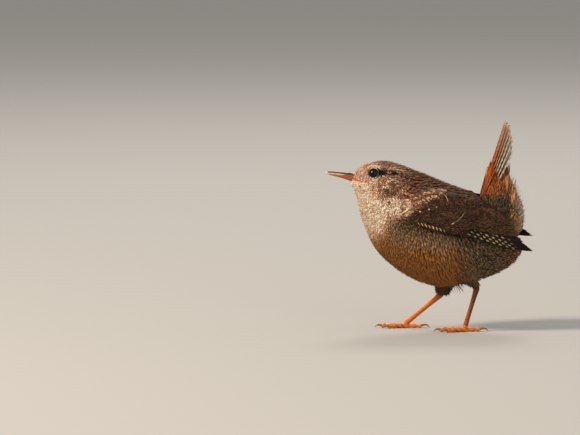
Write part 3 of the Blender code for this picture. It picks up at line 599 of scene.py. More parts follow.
def plumage(points):
    """The bird's markings at points of its skin: base colour, bar colour with its strength, edge colour with its
    strength, and the share of feathers that are dark flecks. Each marking is a band or patch in side-view
    millimetres, laid over the one before; painted shade under the wing and a painted highlight on the throat's front
    are laid the same way."""
    x, y, z = points[..., 0], np.abs(points[..., 1]), points[..., 2]
    wavy, fine = mottle(points, 3.0), mottle(points, 1.3, 1)
    lines = mottle(points * (0.3, 1.0, 1.0), 0.9, 2)  # streaks along the bird
    base = np.broadcast_to(colours("belly"), x.shape + (3,)).copy()

    def lay(tint, mask, strength=1.0):
        base[...] = base + (tint - base) * np.clip(mask * strength, 0, 1)[..., None]

    # Under side: golden belly, paler breast, near-white throat, and olive flank; under the overhanging wing the flank's
    # own darker colour is laid together with painted shade.
    lay(colours("breast"), ramp(x + 0.7 * (43 - z) + wavy, -18, -24))
    lay(colours("throat"), ramp(x + 0.75 * (43 - z) + wavy, -22, -26.5) * ramp(z, 34, 41))
    # The throat's front is lightened further: its own pale colour with a painted highlight where the light falls on it.
    lay(colours("throat") * 1.15, spot(x, z, (-26.5, 50.5), (7.0, 9.0)), 0.8)
    lay(colours("belly"), ramp(lines - 0.4 * fine, 0.1, 0.7) * ramp(x, -36, -32), 0.4)
    lay(colours("throat") * 1.2, ramp(fine - 0.5 * lines, 0.2, 0.8) * ramp(x + 0.75 * (43 - z), -21, -25), 0.6)
    rear = ramp(x + 0.3 * (z - 30) + 1.5 * wavy, -1, 12)
    under_wing_shade = ramp(z + 0.12 * x + wavy, 30, 38) * ramp(x, -26, -19)
    lay(colours("flank"), np.maximum(rear, under_wing_shade) * ramp(y, 1, 8), 0.95)
    # Painted shade: a dark band just under the wing's lower edge, laid over the flank's own darker colour there.
    lay(colours("wing") * 0.7, ramp(z + 0.12 * x, 35.5, 41) * ramp(x, -24, -15) * ramp(y, 4, 9), 0.9)
    lay(colours("vent"), ramp(x - 0.2 * (z - 30), 19, 26) * ramp(z, 42, 34), 0.6)
    lay(colours("dark"), rear * ramp(fine, 0.4, 0.9), 0.45)
    lay(colours("vent"), rear * ramp(-fine, 0.4, 1.0), 0.4)
    bars = rear * 0.75
    edge = 0.25 * (1 - rear)
    flecks = 0.04 * rear
    # The line between the upper and the under side, from the bill over the cheek and wrist to the rump.
    line = np.interp(x, (-37, -31, -26, -22, -18, -12, 0, 10, 20, 30),
                     (62.6, 62.0, 61.5, 58.0, 53.5, 50, 46, 43, 39, 36))
    upper = ramp(z - line + 0.9 * wavy, -1.0, 1.2)
    lay(colours("back"), upper)
    lay(colours("rump"), upper * ramp(wavy - fine, 0.2, 0.9), 0.6)
    lay(colours("dark"), upper * ramp(fine + wavy, 0.2, 0.9), 0.75)
    crown = upper * ramp(x, -14, -21)
    lay(colours("crown_edge"), crown * ramp(x + 1.5 * wavy, -21, -29), 0.75)
    lay(colours("crown_edge") * 1.1, crown * ramp(-lines, 0.0, 0.4), 0.75)
    lay(colours("dark"), crown * ramp(lines, 0.0, 0.4) * ramp(x, -33, -26), 0.92)
    lay(colours("lore"), crown * ramp(x, -29.5, -34.5), 0.5)
    lay(colours("rump"), upper * ramp(x - 0.3 * (z - 50), 9, 17), 0.5)
    edge = edge * (1 - upper) + upper * np.where(crown > 0.3, 0.55, 0.3)
    edge_tint = colours("breast") + (colours("crown_edge") - colours("breast")) * upper[..., None]
    bars = np.where(upper > 0.5, 0.5 * ramp(x, -18, -8), bars)
    flecks = flecks + crown * 0.2 * ramp(x, -31, -27) + (upper - crown) * 0.12
    # Shoulder: rows of red-buff tips that climb backwards over it.
    rows = ramp(shoulder_wave(x, z, wavy, fine), -0.2, 0.6)
    shoulder = ramp(x, 2, -5) * ramp(x, -22, -18) * ramp(z + 0.1 * x, 57, 54) * ramp(z - 0.69 * x, 57.2, 59.4)
    lay(colours("crown_edge") * 1.15, shoulder * rows, 0.9)
    lay(colours("rump"), shoulder * (1 - rows), 0.4)
    # Cheek: streaked buff with a dark crescent and blotches behind it, and a short pale stripe over it.
    ear = spot(x, z, (-23.8, 57.6), (5.4, 4.6))
    lay(colours("ear"), ear, 0.95)
    lay(colours("throat"), ear * ramp(fine - lines, 0.1, 0.7), 0.75)
    lay(colours("dark"), ear * ramp(lines - 0.6 * fine, 0.5, 1.1), 0.55)
    ring = np.hypot(x + 23.7, z - 56.8)
    arc = band(ring, 3.3, 0.75) * ramp(x - 0.45 * (z - 56.8), -25.0, -23.2)
    lay(colours("dark") * 0.8, arc * ramp(fine, -1.0, -0.3), 0.97)
    for place, size in (((-23.4, 56.4), (1.5, 1.0)), ((-21.6, 54.6), (1.6, 1.1)), ((-23.6, 50.6), (1.1, 0.8)),
                        ((-22.3, 51.9), (0.7, 0.6)), ((-24.9, 51.9), (0.7, 0.5)), ((-33.8, 57.4), (0.6, 0.35)),
                        ((-32.4, 56.3), (0.4, 0.3)), ((-29.0, 56.4), (0.5, 0.4))):
        lay(colours("dark"), spot(x, z, place, size), 0.85)
    lay(colours("throat") * 1.1, spot(x, z, (-22.4, 60.4), (1.8, 0.55)), 0.95)
    lay(colours("throat") * 1.1, spot(x, z, (-33.6, 59.0), (0.8, 0.6)), 0.9)
    flecks = flecks + ear * 0.1
    brow_line = np.interp(x, (-36, -33, -29, -24, -19, -14), (62.8, 63.9, 65.1, 64.7, 63.6, 62.0))
    brow = band(z, brow_line + 0.5 * wavy, 0.55) * ramp(x, -13, -19) * ramp(wavy + fine, -0.8, 0.1)
    lay(colours("brow"), brow, 0.9)
    stripe_line = np.interp(x, (-36, -31, -26, -23, -20, -16), (62.0, 62.4, 62.9, 63.1, 62.8, 61.6))
    stripe = band(z, stripe_line, np.interp(x, (-28, -26, -22, -17), (1.3, 0.95, 0.7, 0.5))) * ramp(x, -27.5, -26.0)
    stripe = stripe * ramp(x, -15.0, -20.0) * ramp(fine + 0.5 * lines - 0.14 * (x + 24), -1.1, -0.3)
    lay(colours("dark") * 0.8, stripe, 0.93)
    lay(colours("dark"), spot(x, z, (-18.2, 61.6), (2.6, 1.7)) * ramp(fine, -0.3, 0.4), 0.8)
    lore = ramp(x, -29.5, -31.5) * band(z, 61.3, 1.7)
    lay(colours("lore"), lore, 0.85)
    lay(colours("dark"), ramp(x, -27, -30) * ramp(z, 57, 60) * ramp(fine + 0.6 * lines, 0.5, 1.2), 0.5)
    lay(colours("throat"), ramp(x, -29, -32) * ramp(z, 60, 63) * ramp(-lines, 0.2, 0.8), 0.5)
    face = np.clip(lore + brow, 0, 1)
    flecks = flecks * (1 - brow)
    bars = bars * ramp(x, -24, -16) * (1 - np.clip(face + ear + stripe, 0, 1))
    edge = edge * (1 - stripe) * (1 - 0.4 * face)
    # Below the cheek pale streaks run down the neck's side to the wrist.
    neck = spot(x, z, (-20.3, 50.2), (5.6, 3.6), 0.5)
    lay(colours("throat") * 1.2, neck * ramp(wavy + 0.5 * fine, -0.9, 0.2) * (1 - 0.6 * upper), 0.85)
    return (base, with_strength(colours("dark"), np.clip(bars, 0, 1)[..., None], x.shape),
            with_strength(edge_tint, np.clip(edge, 0, 1)[..., None], x.shape), np.clip(flecks, 0, 1))


# ---------------------------------------------------------------- materials


def add_node(tree, kind, inputs=None, outputs=None, **settings):
    """Adds a node with its settings. inputs gives a socket's value, or a socket to link from, by name or number."""
    node = tree.nodes.new(kind)
    for key, value in settings.items():
        setattr(node, key, value)
    for key, value in (inputs or {}).items():
        if isinstance(value, bpy.types.NodeSocket):
            tree.links.new(value, node.inputs[key])
        else:
            node.inputs[key].default_value = value
    for key, target in (outputs or {}).items():
        tree.links.new(node.outputs[key], target)
    return node


def start_material(name, **values):
    """A material whose shader already has its constant values, found by socket name."""
    material = bpy.data.materials.new(name)
    material.use_nodes = True
    tree = material.node_tree
    shader = next(node for node in tree.nodes if node.type == "BSDF_PRINCIPLED")
    for key, value in values.items():
        shader.inputs[key.replace("_", " ")].default_value = value
    return material, tree, shader


def feather_material(name, bar, strands, rough, root_shade, shaft=0.0, duty=(-0.15, 0.35)):
    """Feather keratin: matt, because its barbs scatter the gloss. Bars cross each feather at a real spacing in the
    colour and strength of its Marking, its margin takes the Edging, and fine strands run along it. Barbs are 0.05 mm
    apart in life; they are drawn 0.3 mm wide, so that they show."""
    material, tree, shader = start_material(name, Roughness=rough, IOR=1.54, Specular_IOR_Level=0.14)
    tint, mark, edge = (add_node(tree, "ShaderNodeAttribute", attribute_name=layer)
                        for layer in ("Tint", "Marking", "Edging"))
    vane, span = (add_node(tree, "ShaderNodeUVMap", uv_map=layer).outputs[0] for layer in ("Vane", "Span"))
    web, along = add_node(tree, "ShaderNodeSeparateXYZ", {0: vane}).outputs[:2]
    run = add_node(tree, "ShaderNodeSeparateXYZ", {0: span}).outputs[1]
    place = add_node(tree, "ShaderNodeTexCoord").outputs["Object"]
    # across is 0 on the shaft and 0.5 at the edge.
    across = add_node(tree, "ShaderNodeMath", {0: web, 1: 0.5}, operation="SUBTRACT").outputs[0]
    across = add_node(tree, "ShaderNodeMath", {0: across}, operation="ABSOLUTE").outputs[0]
    wander = add_node(tree, "ShaderNodeTexNoise", {"Vector": place, "Scale": 900.0, "Detail": 1.0}).outputs[0]
    # Bars: the sine of the length along the feather over the spacing, drawn forward at the edges.
    bent = add_node(tree, "ShaderNodeMath", {0: across, 1: -1.2, 2: run}, operation="MULTIPLY_ADD").outputs[0]
    bent = add_node(tree, "ShaderNodeMath", {0: wander, 1: 0.9, 2: bent}, operation="MULTIPLY_ADD").outputs[0]
    wave = add_node(tree, "ShaderNodeMath", {0: bent, 1: 2 * math.pi / bar}, operation="MULTIPLY").outputs[0]
    wave = add_node(tree, "ShaderNodeMath", {0: wave}, operation="SINE").outputs[0]
    bars = add_node(tree, "ShaderNodeMapRange", {0: wave, 1: duty[0], 2: duty[1]},
                    interpolation_type="SMOOTHSTEP").outputs[0]
    bars = add_node(tree, "ShaderNodeMath", {0: bars, 1: mark.outputs["Alpha"]}, operation="MULTIPLY").outputs[0]
    barred = add_node(tree, "ShaderNodeMix", {"Factor": bars, 6: tint.outputs["Color"], 7: mark.outputs["Color"]},
                      data_type="RGBA").outputs[2]
    # Margin: where the edge or the tip is near.
    reach = add_node(tree, "ShaderNodeMath", {0: along, 1: 0.55}, operation="MULTIPLY").outputs[0]
    reach = add_node(tree, "ShaderNodeMath", {0: reach, 1: across}, operation="MAXIMUM").outputs[0]
    rim = add_node(tree, "ShaderNodeMapRange", {0: reach, 1: 0.24, 2: 0.5}, interpolation_type="SMOOTHSTEP").outputs[0]
    rim = add_node(tree, "ShaderNodeMath", {0: rim, 1: edge.outputs["Alpha"]}, operation="MULTIPLY").outputs[0]
    rimmed = add_node(tree, "ShaderNodeMix", {"Factor": rim, 6: barred, 7: edge.outputs["Color"]},
                      data_type="RGBA").outputs[2]
    # Strands along the feather, and a darker root where the feathers before it shade it.
    stretch = add_node(tree, "ShaderNodeMapping", {0: span, 3: (3.2, 0.28, 1.0)}).outputs[0]
    strand = add_node(tree, "ShaderNodeTexNoise", {"Vector": stretch, "Scale": 1.0, "Detail": 2.0}).outputs[0]
    light = add_node(tree, "ShaderNodeMapRange", {0: strand, 1: 0.3, 2: 0.7, 3: 1 - strands, 4: 1 + 0.6 * strands})
    root = add_node(tree, "ShaderNodeMapRange", {0: along, 1: 0.0, 2: 0.55, 3: root_shade, 4: 1.0})
    light = add_node(tree, "ShaderNodeMath", {0: light.outputs[0], 1: root.outputs[0]}, operation="MULTIPLY")
    if shaft:
        line = add_node(tree, "ShaderNodeMapRange", {0: across, 1: 0.02, 2: 0.06, 3: 1 - shaft, 4: 1.0})
        light = add_node(tree, "ShaderNodeMath", {0: light.outputs[0], 1: line.outputs[0]}, operation="MULTIPLY")
    add_node(tree, "ShaderNodeVectorMath", {0: rimmed, "Scale": light.outputs[0]}, {0: shader.inputs["Base Color"]},
             operation="SCALE")
    add_node(tree, "ShaderNodeBump", {"Strength": 0.35, "Distance": 0.00006, "Height": strand},
             {0: shader.inputs["Normal"]})
    return material


def tinted_material(name, scale, spread, bump, **values):
    """A finish that takes its colour from the piece's Tint, varied by a noise of the given scale over its place."""
    material, tree, shader = start_material(name, **values)
    tint = add_node(tree, "ShaderNodeAttribute", attribute_name="Tint")
    place = add_node(tree, "ShaderNodeTexCoord").outputs["Object"]
    grain = add_node(tree, "ShaderNodeTexNoise", {"Vector": place, "Scale": scale, "Detail": 3.0})
    light = add_node(tree, "ShaderNodeMapRange", {0: grain.outputs[0], 1: 0.3, 2: 0.7, 3: 1 - spread, 4: 1 + spread})
    add_node(tree, "ShaderNodeVectorMath", {0: tint.outputs["Color"], "Scale": light.outputs[0]},
             {0: shader.inputs["Base Color"]}, operation="SCALE")
    add_node(tree, "ShaderNodeBump", {"Strength": bump, "Distance": 0.00008, "Height": grain.outputs[0]},
             {0: shader.inputs["Normal"]})
    return material


# ---------------------------------------------------------------- the coat


def scatter(surface, density, seed, first, last):
    """Roots in staggered rows: rows along s and places round each row are spaced by the square root of the wanted
    number per square millimetre, worked out on a grid of areas, and each is moved a little at random."""
    rng = np.random.default_rng(seed)
    s = np.linspace(first, last, 160)
    angle = np.linspace(0.0, 2 * math.pi, 181)
    grid_s, grid_a = np.meshgrid(s, angle, indexing="ij")
    point, along, round_it, _ = surface_frame(surface, grid_s, grid_a, np.zeros_like(grid_s))
    wanted = density(point)
    row_rate = np.quantile(np.linalg.norm(along, axis=-1) * np.sqrt(wanted), 0.7, axis=1)
    count = np.concatenate([[0], np.cumsum((row_rate[1:] + row_rate[:-1]) / 2 * np.diff(s))])
    rows = np.interp(np.arange(0.5, count[-1]), count, s)
    area = np.linalg.norm(np.cross(along, round_it), axis=-1) * wanted
    found_s, found_a = [], []
    edges = np.concatenate([[first], (rows[1:] + rows[:-1]) / 2, [last]])
    for k, row in enumerate(rows):
        i = int(np.clip(np.searchsorted(s, row), 0, len(s) - 1))
        sums = np.concatenate([[0], np.cumsum((area[i][1:] + area[i][:-1]) / 2 * np.diff(angle))])
        number = max(1, int(round(sums[-1] * (edges[k + 1] - edges[k]))))
        at = (np.arange(number) + 0.5 * (k % 2) + rng.uniform(-0.38, 0.38, number)) / number * sums[-1]
        found_a.append(np.interp(np.clip(at, 0, sums[-1]), sums, angle))
        found_s.append(row + rng.uniform(-0.42, 0.42, number) * (edges[k + 1] - edges[k]))
    return np.clip(np.concatenate(found_s), first, last), np.concatenate(found_a)


def body_inset(points):
    """How far the skin lies inside the solids: thin on the face, deeper on the body."""
    return np.interp(points[..., 0], (-37, -33, -28, -20, -8), (0.2, 0.35, 0.55, 0.85, 1.1))


def feather_sizes(points):
    """Length, width, rise and looseness of the feathers at a place."""
    x, z = points[..., 0], points[..., 2]
    low = ramp(z, 44, 30)
    face, head, body, flank = (sizes(f"{name}_feather") for name in ("face", "head", "body", "flank"))
    length = np.interp(x, (-37, -33, -27, -20, -12, 0), (face, face * 1.25, head * 0.85, head * 1.1, body * 0.85, body))
    length = length + (flank - length) * low * ramp(x, -22, 0) * 0.9
    upper = ramp(z - np.interp(x, (-37, -20, 0, 30), (61, 56, 46, 36)), -2, 2)
    width = length * (0.32 - 0.16 * low * ramp(x, -26, -10)) * (1 + 0.2 * upper * ramp(x, -26, -14))
    width = np.clip(width, 0.4, 1.3)
    rise = body_inset(points) * np.interp(x, (-37, -28, -10, 20), (1.15, 1.1, 1.15, 1.35))
    loose = 0.25 + 0.5 * low * ramp(x, -20, 5) + 0.8 * ramp(x, 12, 24) * ramp(z, 46, 36)
    return length, width, rise, loose


def under_wing(points):
    """True where the folded wing hides the skin."""
    x, z = points[..., 0], points[..., 2]
    upper = np.interp(x, *np.transpose(WING_PAD_UPPER)) - 2.2
    lower = np.interp(x, *np.transpose(WING_PAD_LOWER)) + 1.6
    return (x > -14.5) & (x < 16) & (z < upper) & (z > lower) & (np.abs(points[..., 1]) > 7)


def on_back(points):
    """True above the line where the back meets the flanks."""
    return points[:, 2] > np.interp(points[:, 0], (-30, 0, 30), (52, 46, 38))


def coat_of(surface, first, last, seed, density, bake_box, region=None, markings=plumage, scale=1.0, heading=None):
    """The small feathers of one stretch of skin as a painted batch: density gives their number per square millimetre,
    region leaves out those outside it, and heading turns them from tailwards."""
    rng = np.random.default_rng(seed)
    s, angle = scatter(surface, density, seed, first, last)
    root = surface_frame(surface, s, angle, np.zeros_like(s))[0]
    keep = ~under_wing(root)
    for _, side in SIDES:  # the ring of the lids stays bare, and no feather reaches over the eye from in front
        out = eye_outward(side)
        off = root - eye_centre(side)
        off = off - (off @ out)[:, None] * out
        bare = np.where(off[:, 0] < 0, 2.95, 2.5)
        keep &= ~((np.linalg.norm(off * (0.92, 1, 1.05), axis=1) < bare) & (root[:, 1] * side > 0))
    if region is not None:
        keep &= region(root)
    s, angle, root = s[keep], angle[keep], root[keep]
    length, width, rise, loose = feather_sizes(root)
    count = len(s)
    length = length * scale * rng.uniform(0.82, 1.18, count)
    width = width * scale**0.5 * rng.uniform(0.8, 1.2, count)
    turn = rng.normal(0, 0.13, count) * (0.6 + loose)
    if heading is not None:
        turn = turn + heading(root, angle)
    lift = rise * rng.uniform(0.75, 1.2, count) + loose * rng.uniform(0, 0.7, count) ** 1.5
    base = -body_inset(root)
    batch = lay_coat(surface, s, angle, turn, length, width, base, lift, TUFT, rng.normal(0, 0.35, count) * loose)
    tint, mark, edge, flecks = markings(batch["points"].mean(1))
    fleck = rng.random(count) < flecks
    tint = np.where(fleck[:, None], tint * 0.25, tint)
    spread = (0.14 + 0.14 * ramp(root[:, 0], -16, -24))[:, None]
    tint = tint * (1 + rng.uniform(-1, 1, (count, 1)) * spread) * (1 + rng.normal(0, 0.015, (count, 3)))
    tips = np.clip(tint[:, None] * (0.95 + 0.2 * batch["along"])[None, :, None], 0, 1)
    centres = in_box(bake_box, np.clip(s / surface.end, 0, 1), angle / (2 * math.pi) % 1.0)
    return paint(batch, tips, mark[:, None], edge[:, None], centres)


def flow(points, angle):
    """How far the feathers turn from tailwards towards the belly: a little behind the bill and on the throat, and most
    on the breast's and belly's sides, where they hang."""
    x, z = points[..., 0], points[..., 2]
    face = 0.35 * ramp(x, -20, -30) * ramp(z, 62, 57) + 0.18 * ramp(x, -32, -16) * ramp(z, 60, 50)
    hang = 0.75 * ramp(x, -27, -14) * ramp(x, 22, 4) * ramp(z, 48, 38)
    return np.sin(angle) * (face + hang)


def shank_surface(label):
    """The feathered shank from the knee to just above the heel."""
    knee, heel = (np.array(point) for point in LEGS[label][:2])
    end = heel - unit(heel - knee) * (SHANK_ENDS - 0.2)
    share = np.linspace(0, 1, 5)[:, None]
    radii = {"left": (5.3, 5.1, 4.2, 2.8, 1.5), "right": (5.3, 5.1, 4.6, 3.9, 2.9)}
    return tube_surface(knee + (end - knee) * share, radii[label])


def shank_marks(points):
    """The marks of a shank's coat, which darkens towards the heel."""
    shape = points.shape[:-1]
    share = ramp(points[..., 2], 23.5, 18.5)[..., None]
    base = plumage(points)[0] * (1 - share) + colours("wing") * 0.7 * share
    base = base * (1 + 0.35 * mottle(points, 2.5))[..., None]
    return (base, with_strength(colours("dark"), 0.5, shape), with_strength(colours("vent"), 0.3, shape),
            np.full(shape, 0.05))


class WREN_OT_skin(bpy.types.Operator):
    """Builds the skin under the feathers, from beak to rump and down the shanks"""
    bl_idname = "wren.skin"
    bl_label = "Skin"

    def execute(self, context):
        finish = tinted_material("feathered_skin", 1500.0, 0.2, 0.3, Roughness=0.85, Specular_IOR_Level=0.2)
        shells = [("body", loft(BODY), 90, 72, plumage), ("stem", loft(STEM), 24, 36, plumage),
                  ("left", shank_surface("left"), 16, 28, shank_marks),
                  ("right", shank_surface("right"), 16, 28, shank_marks)]
        points, faces, tints, bake, start = [], [], [], [], 0
        for box, surface, rings, around, markings in shells:
            s, angle = np.meshgrid(np.linspace(0.0, surface.end, rings), np.arange(around) * 2 * math.pi / around,
                                   indexing="ij")
            shape = surface(s, angle, np.zeros_like(s))
            shape = surface(s, angle, -body_inset(shape) - 0.05)
            these, triangles = closed_form(shape)
            points.append(these)
            faces.append(triangles + start)
            tints.append(markings(these)[0] * 0.55)
            bake.append(with_poles(in_box(BAKE_BOX[box], s / surface.end, angle / (2 * math.pi))))
            start += len(these)
        add_piece("skin", np.vstack(points), np.vstack(faces), finish, {"Tint": np.vstack(tints)},
                  ("head", "neck", "torso", "shank_left", "shank_right"), {"OFBake": np.vstack(bake)})
        return {"FINISHED"}


class WREN_OT_coat(bpy.types.Operator):
    """Lays the small feathers of head, body and shanks over the skin, and a few loose tips under the belly"""
    bl_idname = "wren.coat"
    bl_label = "Coat"

    def execute(self, context):
        fine = feather_material("contour_feathers_of_the_head", 1.1, 0.35, 0.75, root_shade=0.5)
        soft = feather_material("downy_body_feathers", 1.9, 0.4, 0.8, root_shade=0.6)
        body, box = loft(BODY), BAKE_BOX["body"]

        def density(points):
            length, width, _, _ = feather_sizes(points)
            return 1.0 / (length * 0.24 * width * 0.52)

        head = coat_of(body, 0.05, 6.0, 11, density, box, heading=flow)
        add_vanes("head_coat", [head], fine)
        back = coat_of(body, 6.0, 18.0, 12, density, box, on_back, heading=flow)
        add_vanes("back_coat", [back], soft)
        for seed, (name, side) in enumerate(SIDES, 13):
            half = coat_of(body, 6.0, 17.9, seed, density, box, lambda p: ~on_back(p) & (p[:, 1] * side >= 0),
                           heading=flow)
            add_vanes(f"breast_and_flank_{name}", [half], soft)
            shank = coat_of(shank_surface(name), 0.4, 3.45, seed + 4, lambda p: np.full(p.shape[:-1], 3.4),
                            BAKE_BOX[name], markings=shank_marks, scale=0.5)
            add_vanes(f"shank_coat_{name}", [shank], soft)
        # A few hair-thin tips hang loose under the belly.
        rng = np.random.default_rng(19)
        count = 22
        root = np.stack([rng.uniform(1.5, 6.5, count), rng.uniform(-5.0, 2.0, count), np.full(count, 19.6)], -1)
        tip = root + np.stack([rng.uniform(0.6, 2.8, count), rng.uniform(-0.6, 0.6, count),
                               rng.uniform(-5.6, -2.4, count)], -1)
        wisps = free_vanes(root, tip, 0.22, np.zeros((count, 3)) + (-0.3, 0, 0), (1.0, 0.0, 0.4))
        centres = np.stack([0.5 + 0.01 * np.arange(count), np.full(count, 0.5)], -1)
        clear = np.append(colours("fluff"), 0.0)
        wisps = paint(wisps, colours("flank") * 0.8, clear, clear, centres)
        add_vanes("belly_wisps", [wisps], soft)
        return {"FINISHED"}


# ---------------------------------------------------------------- wings


def patches(cell, count):
    """The centres and the side of a grid of squares that holds count feathers in a square cell of the OFBake map."""
    grid = math.ceil(math.sqrt(count))
    column, row = np.arange(count) % grid, np.arange(count) // grid
    size = (cell[2] - cell[0]) / grid
    return np.stack([cell[0] + (column + 0.5) * size, cell[1] + (row + 0.5) * size], -1), size


def tier(place, roots, tips, count, width, low, high, base, tip, mark, webs, edge, edging, seed, shape, columns,
         stations, bars, cell, tilt=-0.24, bend=0.0, fray=0.05, jitter=0.25, margin=0.05):
    """A row of overlapping feathers whose roots and tips are spaced along two lines. webs gives the bars' strength on
    the lower and the upper web, where the lower web's begin at the margin, and bars the stretch that they cover. Each
    feather has its own square of the OFBake map, because its bars need more room than a tuft's."""
    rng = np.random.default_rng(seed)
    share = np.linspace(0, 1, count)
    root = spline(roots, share * (len(roots) - 1)) + rng.normal(0, jitter, (count, 2))
    end = spline(tips, share * (len(tips) - 1)) + rng.normal(0, jitter * 0.4, (count, 2))
    level = rng.normal(0, 0.02, count)
    rank = np.linspace(0, 0.3, count)  # each feather lies on the one below it
    batch = lay_sheet(place, root, end, width, low + level + rank, high + level + rank, shape, columns, stations, tilt,
                      bend, fray, rng)
    x, along = batch["x"][None, :, None], batch["along"][None, :, None]
    vary = rng.uniform(0.88, 1.12, (count, 1, 1))
    tint = (base + (tip - base) * ramp(along, 0.35, 0.95)) * vary
    strength = np.where(x < 0, webs[0] * ramp(-x, margin - 0.12, margin + 0.12), webs[1] * ramp(x, 0.0, 0.1))
    strength = strength * ramp(along, bars[0] - 0.05, bars[0] + 0.05) * ramp(along, bars[1] + 0.05, bars[1] - 0.05)
    full = tint.shape[:2]
    centres, size = patches(cell, count)
    return paint(batch, np.clip(tint, 0, 1), with_strength(mark, strength, full), with_strength(edge, edging, full),
                 centres, size * 0.92)


def wing_cushion(x, z):
    """How high the coverts lie over the wing's bed: a dome over the arm that thins towards the back, and an even layer
    behind the arm, below the wing's upper edge."""
    low, high = np.interp(x, *np.transpose(WING_PAD_LOWER)) - 0.6, np.interp(x, *np.transpose(WING_PAD_UPPER)) + 3.5
    share = np.clip((z - low) / (high - low), 0, 1)
    dome = 1.9 * ramp(x, -19.5, -12) * ramp(x, 22, 3) * np.sin(math.pi * share**0.8) ** 0.8
    return 0.45 + np.maximum(dome, 0.95 * ramp(x, -1, 5) * ramp(z + 0.3 * x, 56.2, 54.6))


def wing_down(place, seed, cell):
    """The small soft feathers of the shoulder, the wing's arm and the back of the wing, scattered in staggered rows.
    They are dark brown, mottled with red-brown, and lighter in rows on the shoulder."""
    rng = np.random.default_rng(seed)
    u, v = np.meshgrid(np.arange(-17.4, 22.0, 0.62), np.arange(-1.0, 19.0, 0.54))
    u = u + 0.31 * (np.arange(len(u)) % 2)[:, None]
    low = np.interp(u, (-18.2, -14, -8.5, -1, 4, 7, 14, 22, 27), (47.0, 45.4, 43.4, 41.6, 42.0, 43.4, 42.6, 40.8, 40.0))
    high = np.interp(u, (-18.2, -15, -8, 0, 8, 13, 18, 22, 27), (50.0, 55.0, 57.5, 55.6, 53.6, 51.8, 48.8, 45.2, 40.6))
    root = np.stack([u, low + v], -1) + rng.normal(0, 0.2, u.shape + (2,))
    root = root[root[..., 1] < high]
    count = len(root)
    x, z = root[:, 0], root[:, 1]
    lesser = ramp(x, -4, -12)
    way = np.radians(-19 - 16 * ramp(z, 49, 55) - 6 * ramp(x, 8, 20) + rng.normal(0, 7, count))
    length = (3.7 - 1.3 * lesser + ramp(x, 6, 14) - 1.6 * ramp(x, 17, 21)) * rng.uniform(0.85, 1.2, count)
    tip = root + np.stack([np.cos(way), np.sin(way)], -1) * length[:, None]
    level = rng.normal(0.0, 0.05, count)
    width = (1.05 - 0.25 * lesser) * rng.uniform(0.8, 1.2, count)
    batch = lay_sheet(place, root, tip, width, level - 0.25, level + 0.2, LEAF, 3, 9, 0.0,
                      rng.normal(0, 0.15, count), 0.25, rng, wing_cushion, 0.2, 0.08)
    spots = np.stack([x, np.full(count, 12.0), z], -1)
    wavy = mottle(spots, 2.6, 5)
    fine = mottle(np.stack([0.28 * (0.9 * x - 0.44 * z), x * 0, 0.44 * x + 0.9 * z], -1), 0.9, 6)  # along the wing
    tint = colours("wing") + (colours("back") - colours("wing")) * ramp(wavy, -0.4, 0.8)[:, None] * 0.3
    red = ramp(-fine + 0.4 * wavy, 0.1, 0.8) * (0.15 + 0.25 * ramp(z, 43, 50))
    tint = tint + (colours("rump") * 0.8 - tint) * red[:, None]
    tint = tint + (colours("dark") - tint) * (ramp(fine, 0.0, 0.6) * 0.75)[:, None]
    rows = ramp(shoulder_wave(x, z, wavy, fine), -0.1, 0.7)
    shoulder = ramp(x, 2, -5) * ramp(z - 0.69 * x, 57.2, 59.4)
    tint = tint + (colours("crown_edge") * 1.15 - tint) * (shoulder * (0.15 + 0.8 * rows))[:, None]
    tint = tint * rng.uniform(0.8, 1.25, (count, 1))
    # At the wrist the feathers take the colours of the skin beside them.
    spots[:, 1] = 10.0
    skin = plumage(spots)[0]
    tint = skin + (tint - skin) * ramp(x + 0.35 * (48 - z) + wavy, -17.2, -12.5)[:, None]
    along = batch["along"][None, :, None]
    edge = np.append(colours("rump") * 0.6, 0.15)
    mark = np.append(colours("dark"), 0.35)
    return paint(batch, np.clip(tint[:, None] * (0.85 + 0.3 * along), 0, 1), mark, edge,
                 in_box(cell, (x + 20) / 48, (z - 38) / 22))


def wing_slips(place, marks, seed, cell):
    """Pale slips on the wing: dots, dashes and slender edges, each from a root to a tip with a width, a bow and a
    share of cream."""
    rng = np.random.default_rng(seed)
    marks = np.array(marks)
    count = len(marks)
    batch = lay_sheet(place, marks[:, 0:2], marks[:, 2:4], marks[:, 4], 0.42, 0.5, LEAF, 3, 10, 0.0, marks[:, 5], 0.1,
                      rng, wing_cushion, 0.1, 0.06)
    tint = colours("wing") + (colours("wing_check") * 1.25 - colours("wing")) * marks[:, 6:7]
    clear = np.append(colours("wing"), 0.0)
    return paint(batch, np.clip(tint, 0, 1)[:, None], clear, clear,
                 in_box(cell, np.full(count, 0.5), (np.arange(count) + 0.5) / count))


def cells(number):
    """Square cells of the OFBake map, one for each tier of a piece."""
    grid = math.ceil(math.sqrt(number))
    return [(u / grid, v / grid, (u + 1) / grid, (v + 1) / grid)
            for v, u in (divmod(i, grid) for i in range(number))]


